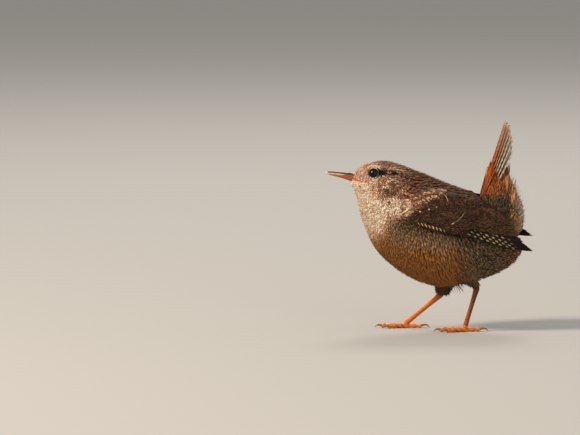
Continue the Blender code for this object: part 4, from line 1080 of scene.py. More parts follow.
class WREN_OT_wings(bpy.types.Operator):
    """Builds both folded wings, feather by feather"""
    bl_idname = "wren.wings"
    bl_label = "Wings"

    def execute(self, context):
        quills = feather_material("wing_quills", sizes("wing_bar"), 0.25, 0.6, root_shade=0.75, shaft=0.4,
                                  duty=(0.1, 0.6))
        down = feather_material("wing_coverts", 1.3, 0.4, 0.75, root_shade=0.5)
        arm = tinted_material("feathered_skin_of_the_wing", 1500.0, 0.2, 0.3, Roughness=0.85)
        wing, dark, cream, back = colours("wing"), colours("dark"), colours("wing_check"), colours("back")
        room = cells(4)
        # x, z of root and tip, width, bow, share of cream
        slips = [(-10.2, 47.8, -9.5, 47.4, 0.55, 0, 1.1), (-6.9, 48.4, -6.3, 48.1, 0.55, 0, 1.0),
                 (-4.1, 49.1, -3.5, 48.9, 0.5, 0, 0.45), (-17.3, 46.9, -14.1, 48.5, 0.6, 0.15, 1.2),
                 (1.8, 42.9, 3.2, 43.5, 0.42, -0.1, 0.6), (3.2, 43.5, 7.0, 47.2, 0.34, -0.5, 0.25),
                 (-1.2, 53.9, 0.6, 50.4, 0.34, 0.4, 0.45)]
        # The row of dashes along the coverts' lower edge.
        dashes = ((0.4, 0.35), (0.5, 0.5), (0.6, 0.7), (0.5, 0.55), (0.65, 0.75), (0.55, 0.6), (0.5, 0.7), (0.4, 0.4))
        slips += [(-10.9 + 1.4 * k, 44.1 - 0.38 * k, -10.1 + 1.4 * k, 42.8 - 0.38 * k, width, 0.08, share)
                  for k, (width, share) in enumerate(dashes)]
        for name, side in SIDES:
            place = wing_place(side)
            seed = 40 + side
            tiers = [
                tier(place, [(0.6, 43.3), (1.6, 44.5), (2.6, 45.6), (3.6, 46.7)],
                     [(34.2, 32.7), (33.3, 33.4), (32.0, 34.4), (30.2, 36.0)], 4, 2.8, 0.5, 0.75, dark * 0.8,
                     dark * 0.5, cream * 0.65, (1.0, 0.0), dark, 0.0, seed, TAPERED, 17, 60, (0.14, 0.8), room[0],
                     tilt=-0.12, bend=-0.35, fray=0.02, jitter=0.05, margin=0.68),
                tier(place, [(1.0, 46.6), (3.4, 50.0), (5.0, 51.6)],
                     [(28.4, 38.4), (27.2, 40.4), (25.2, 42.8), (22.6, 45.2), (19.4, 47.4)], 8, 3.7,
                     0.95, 1.3, wing, wing * 0.9, colours("rump") * 0.7, (0.25, 0.12), back, 0.4, seed + 3, TAPERED,
                     9, 40, (0.3, 0.9), room[1], tilt=-0.14),
                tier(place, [(-9.0, 43.4), (-3.0, 43.4)], [(3.8, 41.0), (6.6, 43.2)], 6, 2.2, 0.75, 1.1, dark * 1.3,
                     dark, cream * 0.8, (0.5, 0.0), wing, 0.3, seed + 6, LEAF, 7, 22, (0.4, 0.95), room[2],
                     margin=0.4),
            ]
            add_vanes(f"wing_feathers_{name}", tiers, quills, (f"wing_{name}",))
            add_vanes(f"wing_coverts_{name}", [wing_down(place, seed + 9, (0.05, 0.02, 0.98, 0.98)),
                                               wing_slips(place, slips, seed + 12, (0.0, 0.0, 0.04, 1.0))],
                      down)
            # The arm under them: a low dome between the pad's two edges.
            share, turn = np.meshgrid(np.linspace(0.03, 0.97, 26), (np.arange(20) + 0.5) * 2 * math.pi / 20,
                                      indexing="ij")
            upper, lower = spline(WING_PAD_UPPER, share * 5), spline(WING_PAD_LOWER, share * 5)
            middle = lower + (upper - lower) * (0.5 + 0.5 * np.cos(turn))[..., None]
            bulge = np.clip(np.sin(turn), 0, None) * np.sin(math.pi * share) ** 0.5 * 0.95
            points, faces = closed_form(place(middle[..., 0], middle[..., 1], 0.2 + bulge))
            add_piece(f"wing_arm_{name}", points, faces, arm,
                      {"Tint": np.broadcast_to(back * 0.35, points.shape)})
        return {"FINISHED"}


# ---------------------------------------------------------------- tail


class WREN_OT_tail(bpy.types.Operator):
    """Builds the cocked tail: six pairs of quills and the coverts over and under their roots"""
    bl_idname = "wren.tail"
    bl_label = "Tail"

    def execute(self, context):
        quills = feather_material("tail_quills", sizes("tail_bar"), 0.25, 0.6, root_shade=0.7, shaft=0.5)
        soft = feather_material("loose_tail_coverts", 2.6, 0.4, 0.8, root_shade=0.6)
        rng = np.random.default_rng(70)
        rufous, dark, pale, fluff = colours("tail"), colours("dark"), colours("tail_pale_and_backlit"), colours("fluff")
        # The pairs lie under one another from the middle pair, 0, to the outermost, and the outer ones are shorter.
        count = 2 * TAIL_PAIRS
        pair = np.tile(np.arange(TAIL_PAIRS), 2)
        side = np.repeat((-1.0, 1.0), TAIL_PAIRS)
        share = (pair + 0.35) / (TAIL_PAIRS - 0.65)
        length = 34.7 - np.array((0, 0.3, 1.2, 3.0, 5.4, 9.0))[pair]
        root = np.stack([np.full(count, 5.0), side * (0.5 + 1.9 * share)], -1)
        tip = np.stack([length, side * (0.5 + 5.8 * share)], -1)
        tip[:, 0] += rng.normal(0, 0.2, count)
        level = -0.45 * pair
        batch = lay_sheet(tail_place, root, tip, 2.9, level - 0.2, level, TAIL_QUILL, 17, 70, -0.2 * side, 0.0, 0.3,
                          rng, camber=0.05, thick=0.14)
        x = batch["x"][None, :] * side[:, None]  # 1 on the outer web
        along = np.broadcast_to(batch["along"][None, :], x.shape)
        outer = (pair / (TAIL_PAIRS - 1))[:, None]
        # The outer pairs turn whitish: painted light shining through their thin webs.
        paler = ramp(outer, 0.15, 0.75)[..., None]
        base = rufous * (1 - paler) + pale * paler
        base = np.broadcast_to(base, x.shape + (3,)).copy()
        base += (rufous * 1.1 - base) * (ramp(along, 0.45, 0.15) * 0.7)[..., None]
        # Outer webs: black beside the shaft, a painted shadow between the spread quills, with a pale margin; inner webs
        # red-brown.
        base += (rufous * 0.7 - base) * (ramp(-x, 0.05, 0.2) * 0.8)[..., None]
        black = ramp(x, -0.08, 0.02) * ramp(x, 0.62, 0.5) * ramp(outer, 0.05, 0.15)
        base += (dark * 0.7 - base) * (black * ramp(along, 1.0, 0.93))[..., None]
        base += (pale * 1.1 - base) * (ramp(along, 0.92, 1.0) * 0.8)[..., None]
        strength = np.where(outer > 0.1, 0.45, 0.5) * (1 - black)
        bars = dark + (rufous * 0.35 - dark) * (1 - outer)[..., None] * 0.8
        quill = paint(batch, np.clip(base, 0, 1), with_strength(bars, strength[..., None], x.shape),
                      with_strength(pale, 0.25, x.shape), patches((0, 0, 1, 1), count)[0], 0.23)
        add_vanes("tail_quills", [quill], quills, ("tail",))

        def coverts(count, low, high, v_low, v_high, out, width, base, tip, mark, strength, fray, seed, cell, bars,
                    darker, tone=None):
            """Loose feathers from low to high up the tail, spread from v_low to v_high across it, at the heights out
            of root and tip. bars says where their bars begin, darker which share of them is dark, and tone, if given,
            their colour by place."""
            rng = np.random.default_rng(seed)
            v = np.linspace(-1, 1, count)[rng.permutation(count)]
            roots = np.stack([low + rng.uniform(0, 2.5, count), v * v_low], -1)
            tips = np.stack([high - 1.5 * np.abs(v) + rng.normal(0, 1.2, count),
                             v * v_high + rng.normal(0, 0.6, count)], -1)
            lift = rng.normal(0, 0.35, count)
            made = lay_sheet(tail_place, roots, tips, width * rng.uniform(0.8, 1.2, count), out[0] + lift,
                             out[1] + lift, LEAF, 5, 17, 0.0, rng.normal(0, 0.6, count), fray, rng, camber=0.25)
            along = made["along"][None, :, None]
            tint = (base + (tip - base) * ramp(along, 0.45, 0.95)) * rng.uniform(0.7, 1.25, (count, 1, 1))
            if tone is not None:
                tint = tone(made["points"]) * rng.uniform(0.7, 1.3, (count, 1, 1))
            tint = np.where((rng.random(count) < darker)[:, None, None], tint * 0.35, tint)
            full = made["points"].shape[:2]
            edge = with_strength(tip if tone is None else np.clip(tint * 1.5, 0, 1), 0.45, full)
            centres, size = patches((*cell, cell[0] + 0.5, cell[1] + 0.5), count)
            return paint(made, np.clip(tint, 0, 1), with_strength(mark, strength * ramp(along, *bars), full), edge,
                         centres, size * 0.9)

        rump, vent = colours("rump"), colours("vent")
        batches = [
            coverts(150, 1.0, 16.5, 1.6, 3.8, (-0.6, 0.2), 0.95, rump, rufous * 1.2, dark, 0.3, 0.2, 71, (0, 0),
                    (0.1, 0.5), 0.25),
            coverts(210, 0.5, 12.0, 5.0, 5.4, (-10.6, -8.2), 1.0, vent, fluff, vent, 0.2, 0.5, 72, (0.5, 0),
                    (0.3, 0.6), 0.12, tail_base_tone),
            coverts(220, 3.5, 17.4, 4.4, 4.8, (-7.4, -4.6), 1.0, vent, fluff, dark, 0.3, 0.45, 73, (0, 0.5),
                    (0.5, 0.75), 0.12, tail_base_tone),
            coverts(150, 7.5, 20.5, 3.2, 3.8, (-4.4, -2.4), 1.0, rump, rufous, dark, 0.4, 0.35, 74, (0.5, 0.5),
                    (0.5, 0.75), 0.2, tail_base_tone),
        ]
        # Loose tips stand out of the rear edge.
        count = 150
        z = rng.uniform(41.5, 62.0, count)
        around = rng.uniform(-1.2, 1.2, count)
        wide = np.interp(z, (41, 48, 55, 62), (7.5, 6.8, 5.4, 3.6))
        start = np.stack([np.interp(z, *TAIL_REAR) - 1.2 - 2.2 * (1 - np.cos(around)), wide * np.sin(around), z], -1)
        tips = start + np.stack([rng.uniform(1.2, 3.0, count), 0.25 * start[:, 1] * rng.uniform(0.2, 1, count),
                                 rng.uniform(-0.3, 2.6, count)], -1)
        tufts = free_vanes(start, tips, rng.uniform(0.2, 0.5, count), np.zeros((count, 3)) + (0, 0, -0.3),
                           (0.0, 1.0, 0.3))
        tone = tail_base_tone(tufts["points"] + (1.0, 0.0, 0.0)) * rng.uniform(0.7, 1.3, (count, 1, 1))
        centres = np.stack([0.02 + 0.9 * (z - 41) / 21, 0.48 + 0.02 * around], -1)
        batches.append(paint(tufts, np.clip(tone, 0, 1), np.append(dark, 0.0), np.append(fluff, 0.3), centres))
        add_vanes("tail_coverts", batches, soft)
        stem = coat_of(loft(STEM), 0.1, 4.9, 75, lambda p: np.full(p.shape[:-1], 2.4), BAKE_BOX["stem"],
                       markings=stem_marks, scale=0.75)
        add_vanes("tail_root_coat", [stem], soft)
        return {"FINISHED"}


def tail_base_tone(points):
    """The tail's base: blackish brown beside the rump, red-brown above it, buff further back, and grey-white loose
    tips at the foot of its rear edge."""
    x, z = points[..., 0], points[..., 2]
    back, rough = x - np.interp(z, *TAIL_REAR), mottle(points, 1.5, 7)
    tint = np.broadcast_to(colours("wing") * 1.5, points.shape).copy()
    for tone, share in ((colours("rump") * 1.3, ramp(z + 2 * rough - 0.12 * (x - 20), 51, 55) * 0.9),
                        (colours("vent") * 1.25, ramp(back + 1.6 * rough - 0.15 * (z - 50), -6.5, -3.2) * 0.9),
                        (colours("fluff") * 0.8, ramp(back + rough, -2.0, 0.2) * ramp(z, 56, 49) * 0.8)):
        tint = tint + (tone - tint) * share[..., None]
    return tint


def stem_marks(points):
    """The marks of the tail root's own coat."""
    shape = points.shape[:-1]
    behind = ramp(points[..., 0] - np.interp(points[..., 2], *TAIL_REAR), -4, -1)[..., None]
    return (tail_base_tone(points), with_strength(colours("dark"), 0.5, shape),
            with_strength(colours("fluff"), 0.3 * behind, shape), np.full(shape, 0.03))


# ---------------------------------------------------------------- bill, eyes, legs


class WREN_OT_bill(bpy.types.Operator):
    """Builds the two halves of the bill with their nostrils, and the gape's soft edge"""
    bl_idname = "wren.bill"
    bl_label = "Bill"

    def execute(self, context):
        # Horn: satin, a little light passes into it, with fine growth lines.
        horn = tinted_material("bill_horn", 2200.0, 0.14, 0.12, Roughness=0.34, IOR=1.55, Coat_Weight=0.15,
                               Coat_Roughness=0.25)
        s, turn = np.meshgrid(np.linspace(-0.35, 4, 72), np.linspace(0, math.pi, 33), indexing="ij")
        reach = np.clip(s, 0, None)
        back = np.clip(-s, 0, None)[..., None] * (3.0, -0.6)
        ridge, mouth, keel = (spline(line, reach) + back for line in (CULMEN, MOUTH, KEEL))
        width = spline(BILL_HALF_WIDTH, reach)[..., 0] + 0.2 * np.clip(-s, 0, None)
        for name, edge, lift, above in (("bill_upper", ridge, 0.06, True), ("bill_lower", keel, -0.06, False)):
            line = mouth + np.array([0.0, lift])
            high = (np.sin(turn) ** 0.8)[..., None]
            flat = line + (edge - line) * high
            across = width * np.cos(turn) * (1.0 if above else 0.93)
            shape = np.stack([flat[..., 0], across, flat[..., 1]], -1)
            if above:
                hole = spot(shape[..., 0] - 0.1 * (shape[..., 2] - NOSTRIL[1]), shape[..., 2],
                            (NOSTRIL[0] + 0.5, NOSTRIL[1] + 0.25), (1.05, 0.36), 0.3)
                shape[..., 1] -= np.sign(across) * hole * 0.34
                # Slate ridge, red-brown side, and a cream line along the mouth that fades before the nostril.
                level = high[..., 0] + 0.05 * mottle(shape, 0.7)
                slate = np.maximum(ramp(level, 0.5, 0.8), ramp(level, 0.2, 0.45) * ramp(s, 1.3, -0.2) * 0.7)
                tint = colours("bill_under") * 0.4 + (colours("bill") - colours("bill_under") * 0.4) * slate[..., None]
                rim = np.maximum(ramp(level, 0.36, 0.18) * ramp(s, 0.6, 1.3), ramp(s, 3.4, 3.9))
                tint = tint + (colours("bill_edge") - tint) * (rim * 0.9)[..., None]
                warm = ramp(level, 0.36, 0.18) * ramp(s, 1.3, 0.6)
                tint = tint + (colours("bill_under") - tint) * warm[..., None]
                # The nostril slot is darkened: painted shade in its hollow.
                tint = tint * (1 - 0.9 * hole)[..., None]
            else:
                # Orange, darker towards the keel and along the mouth's far half, with a pale tip.
                level = high[..., 0]
                tint = colours("bill_under") * (1 - 0.6 * ramp(level, 0.5, 0.95)[..., None])
                rim = np.maximum(ramp(level, 0.3, 0.05) * ramp(s, 1.0, 1.8) * 0.6, ramp(s, 3.5, 3.9) * 0.7)
                tint = tint + (colours("bill_edge") - tint) * rim[..., None]
            points, faces = closed_form(shape)
            add_piece(name + "_horn", points, faces, horn, {"Tint": with_poles(tint)}, (name,))
        # The gape: a soft rim from the mouth's corner back over the cheek, a tube on the skin on each side.
        skin = tinted_material("gape_skin", 1800.0, 0.15, 0.2, Roughness=0.42, Subsurface_Weight=0.15,
                               Subsurface_Scale=0.001)
        share = np.linspace(0, 1, 26)
        flat = np.array((-37.2, 60.75)) * (1 - share)[:, None] + np.array(GAPE_CORNER) * share[:, None]
        flat[:, 1] -= 0.25 * np.sin(math.pi * share)
        for name, side in SIDES:
            out = half_width(BODY, flat[:, 0], flat[:, 1])
            out = np.where(flat[:, 0] < -35.9, np.maximum(out, 1.72), out)
            path = np.stack([flat[:, 0], side * (out + 0.02), flat[:, 1]], -1)
            radius = 0.3 * np.sin(math.pi * (0.15 + 0.85 * share)) ** 0.6 + 0.04
            rings = tube_rings(path, np.broadcast_to(radius[:, None, None] * (0.7, 1.0), (26, 12, 2)), 12)
            points, faces = closed_form(rings)
            fade = ramp(share, 0.3, 1.0)[:, None, None]
            tint = colours("bill_under") * (0.85 - 0.3 * fade) + colours("lore") * 0.2 * fade
            add_piece(f"gape_{name}", points, faces, skin,
                      {"Tint": with_poles(np.broadcast_to(tint, rings.shape))})
        return {"FINISHED"}


class WREN_OT_eyes(bpy.types.Operator):
    """Builds the eyeballs, their lids and the ring of tiny feathers round them"""
    bl_idname = "wren.eyes"
    bl_label = "Eyes"

    def execute(self, context):
        # Wet cornea over a black-brown iris: a dark ball with one hard, clear gloss.
        ball = tinted_material("wet_eye", 700.0, 0.1, 0.0, Roughness=0.03, IOR=1.38, Specular_IOR_Level=0.25,
                               Coat_Weight=0.12, Coat_Roughness=0.01)
        rim = tinted_material("eyelid_skin", 2600.0, 0.2, 0.35, Roughness=0.5)
        lash = feather_material("eye_ring_feathers", 3.0, 0.15, 0.75, root_shade=0.9)
        pupil, iris_brown, lid_black, lid_brown, lid_pale, feather_pale = (linear(code) for code in (
            "#050404", "#1a0f09", "#0c0908", "#6b4a36", "#fbeee2", "#f0dccb"))
        for name, side in SIDES:
            centre, out = eye_centre(side), eye_outward(side)
            first = unit(np.cross((0.0, 0.0, 1.0), out))
            second = np.cross(out, first)
            polar, turn = np.meshgrid(np.linspace(0.03, math.pi - 0.03, 40), np.arange(48) * 2 * math.pi / 48,
                                      indexing="ij")
            bulge = EYE_RADIUS * (1 + 0.025 * (1 - ramp(polar, 0.0, 0.75)))
            shape = centre + (out * np.cos(polar)[..., None] + first * (np.sin(polar) * np.cos(turn))[..., None]
                              + second * (np.sin(polar) * np.sin(turn))[..., None]) * bulge[..., None]
            iris = ramp(polar, 0.5, 0.56)[..., None]
            tint = pupil * (1 - iris) + iris_brown * iris
            points, faces = closed_form(shape)
            add_piece(f"eyeball_{name}", points, faces, ball, {"Tint": with_poles(tint)}, (f"eye_{name}",))
            # Lids: a ring over the ball, thicker above and below, narrowed to a point at both corners.
            nodes, beads, thick = 72, 12, 0.26
            around, bead = np.meshgrid(np.arange(nodes) * 2 * math.pi / nodes, np.arange(beads) * 2 * math.pi / beads,
                                       indexing="ij")
            cos, sin = np.cos(around), np.sin(around)
            wide = LID_RADII[0] * (0.83 + 0.05 * cos**8) + thick * np.cos(bead)
            tall = LID_RADII[1] * 0.98 + thick * np.cos(bead) * (0.8 + 0.3 * np.abs(sin))
            wrinkle = 0.03 * np.sin(around * 18)
            lift = LID_LIFT - 0.12 + (0.36 + wrinkle) * np.sin(bead) - 0.25 * np.abs(cos) ** 3
            ring = centre + out * lift[..., None] + first * (wide * cos)[..., None] + second * (tall * sin)[..., None]
            outer = ramp(np.cos(bead), -0.1, 0.45)
            gaps = ramp(np.sin(around * 11.0) + np.sin(around * 17.0 + 1.0), -1.2, -0.2)
            crescent = np.maximum(ramp(-sin, 0.6, 0.85) * gaps, 0.7 * ramp(sin, 0.6, 0.85)) * outer
            rimmed = outer * ramp(np.abs(sin), 0.1, 0.5)
            tint = lid_black + (lid_brown - lid_black) * rimmed[..., None]
            tint = tint + (lid_pale - tint) * crescent[..., None]
            node = np.arange(nodes)
            points = ring.reshape(-1, 3)
            faces = outward(points[None], cell_triangles(node, (node + 1) % nodes, beads)[None])[0]
            add_piece(f"lids_{name}", points, faces, rim, {"Tint": tint.reshape(-1, 3)})
            # Tiny feathers lie round the lids and sweep back.
            rng = np.random.default_rng(30 + side)
            count = 150
            at = np.linspace(0, 2 * math.pi, count, endpoint=False) + rng.uniform(-0.03, 0.03, count)
            reach = 2.62 + 0.35 * (np.arange(count) % 3) + rng.uniform(-0.08, 0.08, count)
            root_flat = np.stack([np.cos(at) * reach * 1.04, np.sin(at) * reach * 0.96], -1)
            sweep = np.stack([-np.sin(at), np.cos(at)], -1)
            tailward = np.sign(first[0])  # first points forwards or back on each side
            sweep *= np.sign(sweep[:, 0:1] * tailward + 1e-9)
            sweep = unit(sweep + 0.25 * np.stack([np.cos(at), np.sin(at)], -1) + (0.35 * tailward, 0.0))
            length = rng.uniform(1.0, 1.5, count)
            shares = np.linspace(0, 1, 5)
            flat = root_flat[:, None] + sweep[:, None] * (length[:, None] * shares)[..., None]
            radius = np.linalg.norm(flat, axis=-1)
            push = np.maximum(2.42 / np.maximum(radius, 1e-6), 1.0)
            flat = flat * push[..., None]
            depth = LID_LIFT - 0.35 - 0.42 * np.clip(np.linalg.norm(flat, axis=-1) - 2.4, 0, None) + 0.3 * shares
            shaft = centre + out * depth[..., None] + first * flat[..., 0:1] + second * flat[..., 1:2]
            across_x, under, _ = vane_template(5, 3)
            aside = np.stack([-sweep[:, 1], sweep[:, 0]], -1)
            aside = (first * aside[:, 0:1] + second * aside[:, 1:2])[:, None, None]
            half = (0.2 * np.array((0.0, 0.8, 1.0, 0.7, 0.0)))[None, 1:-1, None] * across_x
            rings = shaft[:, 1:-1, None] + aside * half[..., None] - out * (0.05 * under)[:, None]
            batch = close_vanes(rings, shaft[:, 0], shaft[:, -1], shares, across_x)
            batch["length"], batch["width"] = length, np.full(count, 0.4)
            base, mark, edge, _ = plumage(batch["points"].mean(1))
            high = np.sin(at)
            near = np.arange(count) % 3 == 0
            pale = np.where(near, ramp(-high, 0.6, 0.85) + 0.6 * ramp(high, 0.6, 0.9), 0.35 * ramp(high, 0.6, 0.9))
            pale = (pale * (rng.random(count) < 0.75))[:, None]
            base = base * (1 - pale) + feather_pale * pale
            behind = (ramp(np.cos(at) * tailward, 0.5, 0.8) * ramp(np.abs(high), 0.8, 0.5))[:, None]
            base = base * (1 - behind) + colours("dark") * 0.6 * behind
            mark[:, 3] = 0.0
            centres = np.stack([0.05 + 0.9 * at / (2 * math.pi), 0.3 + 0.1 * (np.arange(count) % 3)], -1)
            add_vanes(f"eye_ring_{name}", [paint(batch, base[:, None], mark[:, None], edge[:, None], centres)], lash)
        return {"FINISHED"}


class WREN_OT_legs(bpy.types.Operator):
    """Builds the scaled legs, the toes with their pads, and the claws"""
    bl_idname = "wren.legs"
    bl_label = "Legs"

    def execute(self, context):
        # Scaled leg skin: thin, waxy, light glows through it a little; claws are darker, harder horn.
        scaly = tinted_material("scaled_leg_skin", 1600.0, 0.16, 0.25, Roughness=0.5, IOR=1.5, Specular_IOR_Level=0.25,
                                Subsurface_Weight=0.08, Subsurface_Scale=0.0008, Subsurface_Radius=(1.0, 0.45, 0.2))
        horn = tinted_material("claw_horn", 1500.0, 0.2, 0.1, Roughness=0.3, IOR=1.55, Coat_Weight=0.2)
        leg_tint, claw_tint, scute = colours("leg"), colours("claw"), sizes("scute")
        for name, (knee, heel, ankle, heading, side) in LEGS.items():
            knee, heel, ankle = (np.array(point) for point in (knee, heel, ankle))
            thigh, shin = unit(heel - knee), unit(ankle - heel)
            turn = np.linspace(0, 1, 7)[:, None]
            start, bend, bottom = heel - thigh * (SHANK_ENDS + 1.4), heel + shin * 1.6, ankle - shin * 0.3
            path = np.vstack([start * (1 - turn) ** 2 + heel * 2 * turn * (1 - turn) + bend * turn**2,
                              bend + (bottom - bend) * np.array([0.12, 0.3, 0.5, 0.7, 0.9, 1.0])[:, None]])
            thick = np.array([1.1, 1.25, 1.36, 1.42, 1.42, 1.36, 1.25, 1.08, 0.97, 0.93, 0.94, 1.02, 1.1])
            steps, around = 150, 28
            fine, radius = fine_path(path, thick, steps)
            run = np.concatenate([[0], np.cumsum(np.linalg.norm(np.diff(fine, axis=0), axis=1))])
            ahead = np.array([math.cos(math.radians(heading)), math.sin(math.radians(heading)), 0.0])
            plain = tube_rings(fine, np.ones((steps, around, 2)), around)
            front = np.clip(unit(plain - fine[:, None]) @ ahead + 0.35, 0, 1.0)
            step = (run[:, None] / scute) % 1.0
            seam = np.maximum(1 - ramp(step, 0.0, 0.1), ramp(step, 0.9, 1.0)) * ramp(front, 0.1, 0.4)
            bump = 1 + 0.07 * ramp(step, 0.05, 0.95) * ramp(front, 0.1, 0.5) - 0.05 * seam
            radii = radius[:, :, None] * bump[..., None] * (0.72, 0.92)
            rings = tube_rings(fine, radii, around)
            # The upright leg is darkened brown down to its foot, and the other leg at its upper end: painted shade,
            # where the body shades them.
            brown = np.interp(np.linspace(0, 1, steps), (0, 0.6, 1), (1, 1, 0.6) if name == "left" else (0.8, 0.1, 0))
            tint = leg_tint + (colours("leg_shaded") - leg_tint) * brown[:, None, None]
            tint = tint * (1 - 0.45 * seam[..., None]) * (0.8 + 0.3 * front[..., None])
            points, faces = closed_form(rings)
            add_piece(f"tarsus_{name}_scutes", points, faces, scaly,
                      {"Tint": with_poles(np.clip(tint, 0, 1))}, (f"tarsus_{name}",))
            parts, triangles, tints, first = [], [], [], 0
            centre = np.array([ankle[0], ankle[1], TOE_LIFT])
            palm, wide = fine_path(np.array([bottom - shin * 0.2, ankle, (ankle[0], ankle[1], 0.45)]),
                                   (0.95, 1.0, 0.85), 24)
            shapes = [(tube_rings(palm, np.broadcast_to(wide[:, :, None] * (1.0, 1.05), (24, 20, 2)), 20), None)]
            for toe, spread, length, claw in TOES:
                way = math.radians(heading + side * spread)
                forward = np.array([math.cos(way), math.sin(way), 0.0])
                steps, around = 90, 18
                share = np.linspace(0, 1, steps)
                joints = 3 if toe != "hind" else 2
                path = centre + forward * (share * (length + 0.15))[:, None]
                path[:, 2] += 0.62 * np.sin(math.pi * share) * (0.5 if toe != "hind" else 0.3)
                path[:, 2] += 0.12
                plate = 0.85  # mm from one plate of the toe to the next
                plates = (share * length / plate) % 1.0
                ring = tube_rings(path, np.ones((steps, around, 2)), around)
                top = np.clip((ring - path[:, None])[..., 2], -1, 1)
                swell = 0.16 * np.cos(share * joints * 2 * math.pi)
                knuckle = 1 + swell
                pad = 1 + np.clip(-top, 0, 1) * swell[:, None]
                seam = ramp(np.abs(plates - 0.5), 0.36, 0.5)[:, None] * ramp(top, 0.0, 0.4)
                size = (TOE_RADIUS * (1.06 - 0.3 * share) * knuckle)[:, None] * pad * (1 - 0.08 * seam)
                rings = tube_rings(path, np.broadcast_to(size[..., None], (steps, around, 2)), around)
                shapes.append((rings, seam))
                # Claw: the toe's end carried on as a cone that hooks down.
                steps, around, hook = 40, 14, 1.25
                u = np.linspace(0, 1, steps)
                out = np.sin(hook * u) / math.sin(hook) * (claw * 0.92 + 0.5)
                line = centre + forward * (length - 0.25 + out)[:, None]
                line[:, 2] = TOE_LIFT + 0.2 + claw * 0.2 * np.sin(math.pi * u) ** 0.9 - 0.56 * u**1.7
                thin = 0.5 * (1.02 - u) ** 0.7
                radii = np.broadcast_to(thin[:, None, None] * (0.8, 1.1), (steps, around, 2))
                claw_rings = tube_rings(line, radii, around)
                claw_rings[..., 2] = np.maximum(claw_rings[..., 2], 0.02)
                points, faces = closed_form(claw_rings)
                shade = np.interp(u, (0, 0.35, 1), (1.25, 0.9, 0.45))[:, None, None]
                add_piece(f"claw_{toe}_{name}_horn", points, faces, horn,
                          {"Tint": with_poles(np.broadcast_to(claw_tint * shade, claw_rings.shape))},
                          (f"claw_{toe}_{name}",))
            for rings, seam in shapes:
                rings[..., 2] = np.maximum(rings[..., 2], 0.0)
                points, faces = closed_form(rings)
                dim = 0.0 if seam is None else 0.5 * seam[..., None]
                # Painted shade: toes and palm darken underneath, towards the floor.
                under = ramp(rings[..., 2], 0.5, 0.1)[..., None]
                tint = leg_tint * (1.0 - dim) * (1 - 0.4 * under)
                parts.append(points)
                triangles.append(faces + first)
                tints.append(with_poles(np.clip(np.broadcast_to(tint, rings.shape), 0, 1)))
                first += len(points)
            add_piece(f"foot_{name}_scales", np.vstack(parts), np.vstack(triangles), scaly,
                      {"Tint": np.vstack(tints)}, (f"foot_{name}",))
        return {"FINISHED"}


# ---------------------------------------------------------------- stage


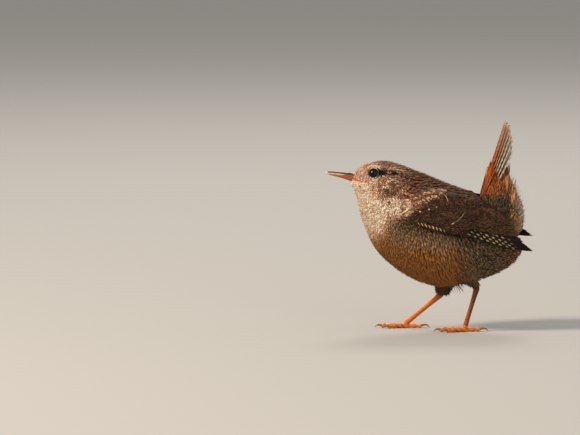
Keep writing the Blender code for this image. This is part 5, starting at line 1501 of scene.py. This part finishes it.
class WREN_OT_stage(bpy.types.Operator):
    """Sets the pale floor, the soft lights and the camera at the photograph's angle"""
    bl_idname = "wren.stage"
    bl_label = "Stage"

    def execute(self, context):
        scene = context.scene
        material, _, shader = start_material("matt_floor", Roughness=0.9, Specular_IOR_Level=0.2)
        shader.inputs["Base Color"].default_value = (*linear("#a9a8a5"), 1.0)
        mesh = bpy.data.meshes.new("floor")
        reach = 6  # metres
        mesh.from_pydata([(-reach, -reach, 0), (reach, -reach, 0), (reach, reach, 0), (-reach, reach, 0)], [],
                         [(0, 1, 2, 3)])
        mesh.materials.append(material)
        floor = bpy.data.objects.new("floor", mesh)
        scene.collection.objects.link(floor)
        world = bpy.data.worlds.new("soft_room")
        world.use_nodes = True
        background = next(node for node in world.node_tree.nodes if node.type == "BACKGROUND")
        background.inputs["Color"].default_value = (*linear("#f1efeb"), 1.0)
        background.inputs["Strength"].default_value = 0.6
        scene.world = world
        target = to_row(np.array((-8.0, 0.0, 45.0)))
        for name, at, size, power, tint in (
                ("key", (-1.15, -0.55, 1.0), 0.4, 31.0, "#ffedd8"), ("fill", (0.6, -1.3, 0.5), 0.9, 4.0, "#fff6ea"),
                ("rim", (0.1, 1.0, 1.0), 0.5, 7.0, "#fff8f0")):
            light = bpy.data.lights.new(name, "AREA")
            light.shape, light.size, light.energy, light.color = "DISK", size, power, tuple(linear(tint))
            lamp = bpy.data.objects.new(name, light)
            lamp.location = at
            direction = unit(target - np.array(at))
            lamp.rotation_mode = "QUATERNION"
            lamp.rotation_quaternion = Vector(direction).to_track_quat("-Z", "Y")
            scene.collection.objects.link(lamp)
        camera = bpy.data.cameras.new("camera")
        distance, pixels, pixel = 3.0, 580, 0.000395  # metres, the photograph's width, and metres to one pixel
        across = pixels * pixel
        camera.sensor_width, camera.lens = 36.0, 36.0 * distance / across
        camera.clip_start, camera.clip_end = 0.1, 30.0
        eye = bpy.data.objects.new("camera", camera)
        aim = to_row(np.array((-61.2, 0.0, 44.6)))
        lean = math.radians(5.0)
        eye.location = aim + distance * np.array((0.0, -math.cos(lean), math.sin(lean)))
        eye.rotation_euler = (math.pi / 2 - lean, 0.0, 0.0)
        scene.collection.objects.link(eye)
        scene.camera = eye
        scene.view_settings.view_transform = "Standard"
        return {"FINISHED"}


OPERATORS = (WREN_OT_skin, WREN_OT_coat, WREN_OT_wings, WREN_OT_tail, WREN_OT_bill, WREN_OT_eyes, WREN_OT_legs,
             WREN_OT_stage)


class WREN_PT_panel(bpy.types.Panel):
    """Lists the pieces of the wren and their settings"""
    bl_idname = "WREN_PT_panel"
    bl_label = "Wren"
    bl_space_type = "VIEW_3D"
    bl_region_type = "UI"
    bl_category = "Wren"

    def draw(self, context):
        for operator in OPERATORS:
            self.layout.operator(operator.bl_idname)
        for group in (context.scene.wren_sizes, context.scene.wren_colours):
            column = self.layout.column()
            for key in group.__annotations__:
                column.prop(group, key)


CLASSES = (WREN_PG_sizes, WREN_PG_colours, *OPERATORS, WREN_PT_panel)


def register():
    for kind in CLASSES:
        bpy.utils.register_class(kind)
    bpy.types.Scene.wren_sizes = bpy.props.PointerProperty(type=WREN_PG_sizes)
    bpy.types.Scene.wren_colours = bpy.props.PointerProperty(type=WREN_PG_colours)


def unregister():
    del bpy.types.Scene.wren_sizes
    del bpy.types.Scene.wren_colours
    for kind in reversed(CLASSES):
        bpy.utils.unregister_class(kind)


def main():
    register()
    for step in (bpy.ops.wren.skin, bpy.ops.wren.coat, bpy.ops.wren.wings, bpy.ops.wren.tail, bpy.ops.wren.bill,
                 bpy.ops.wren.eyes, bpy.ops.wren.legs, bpy.ops.wren.stage):
        step()


if __name__ == "__main__":
    main()
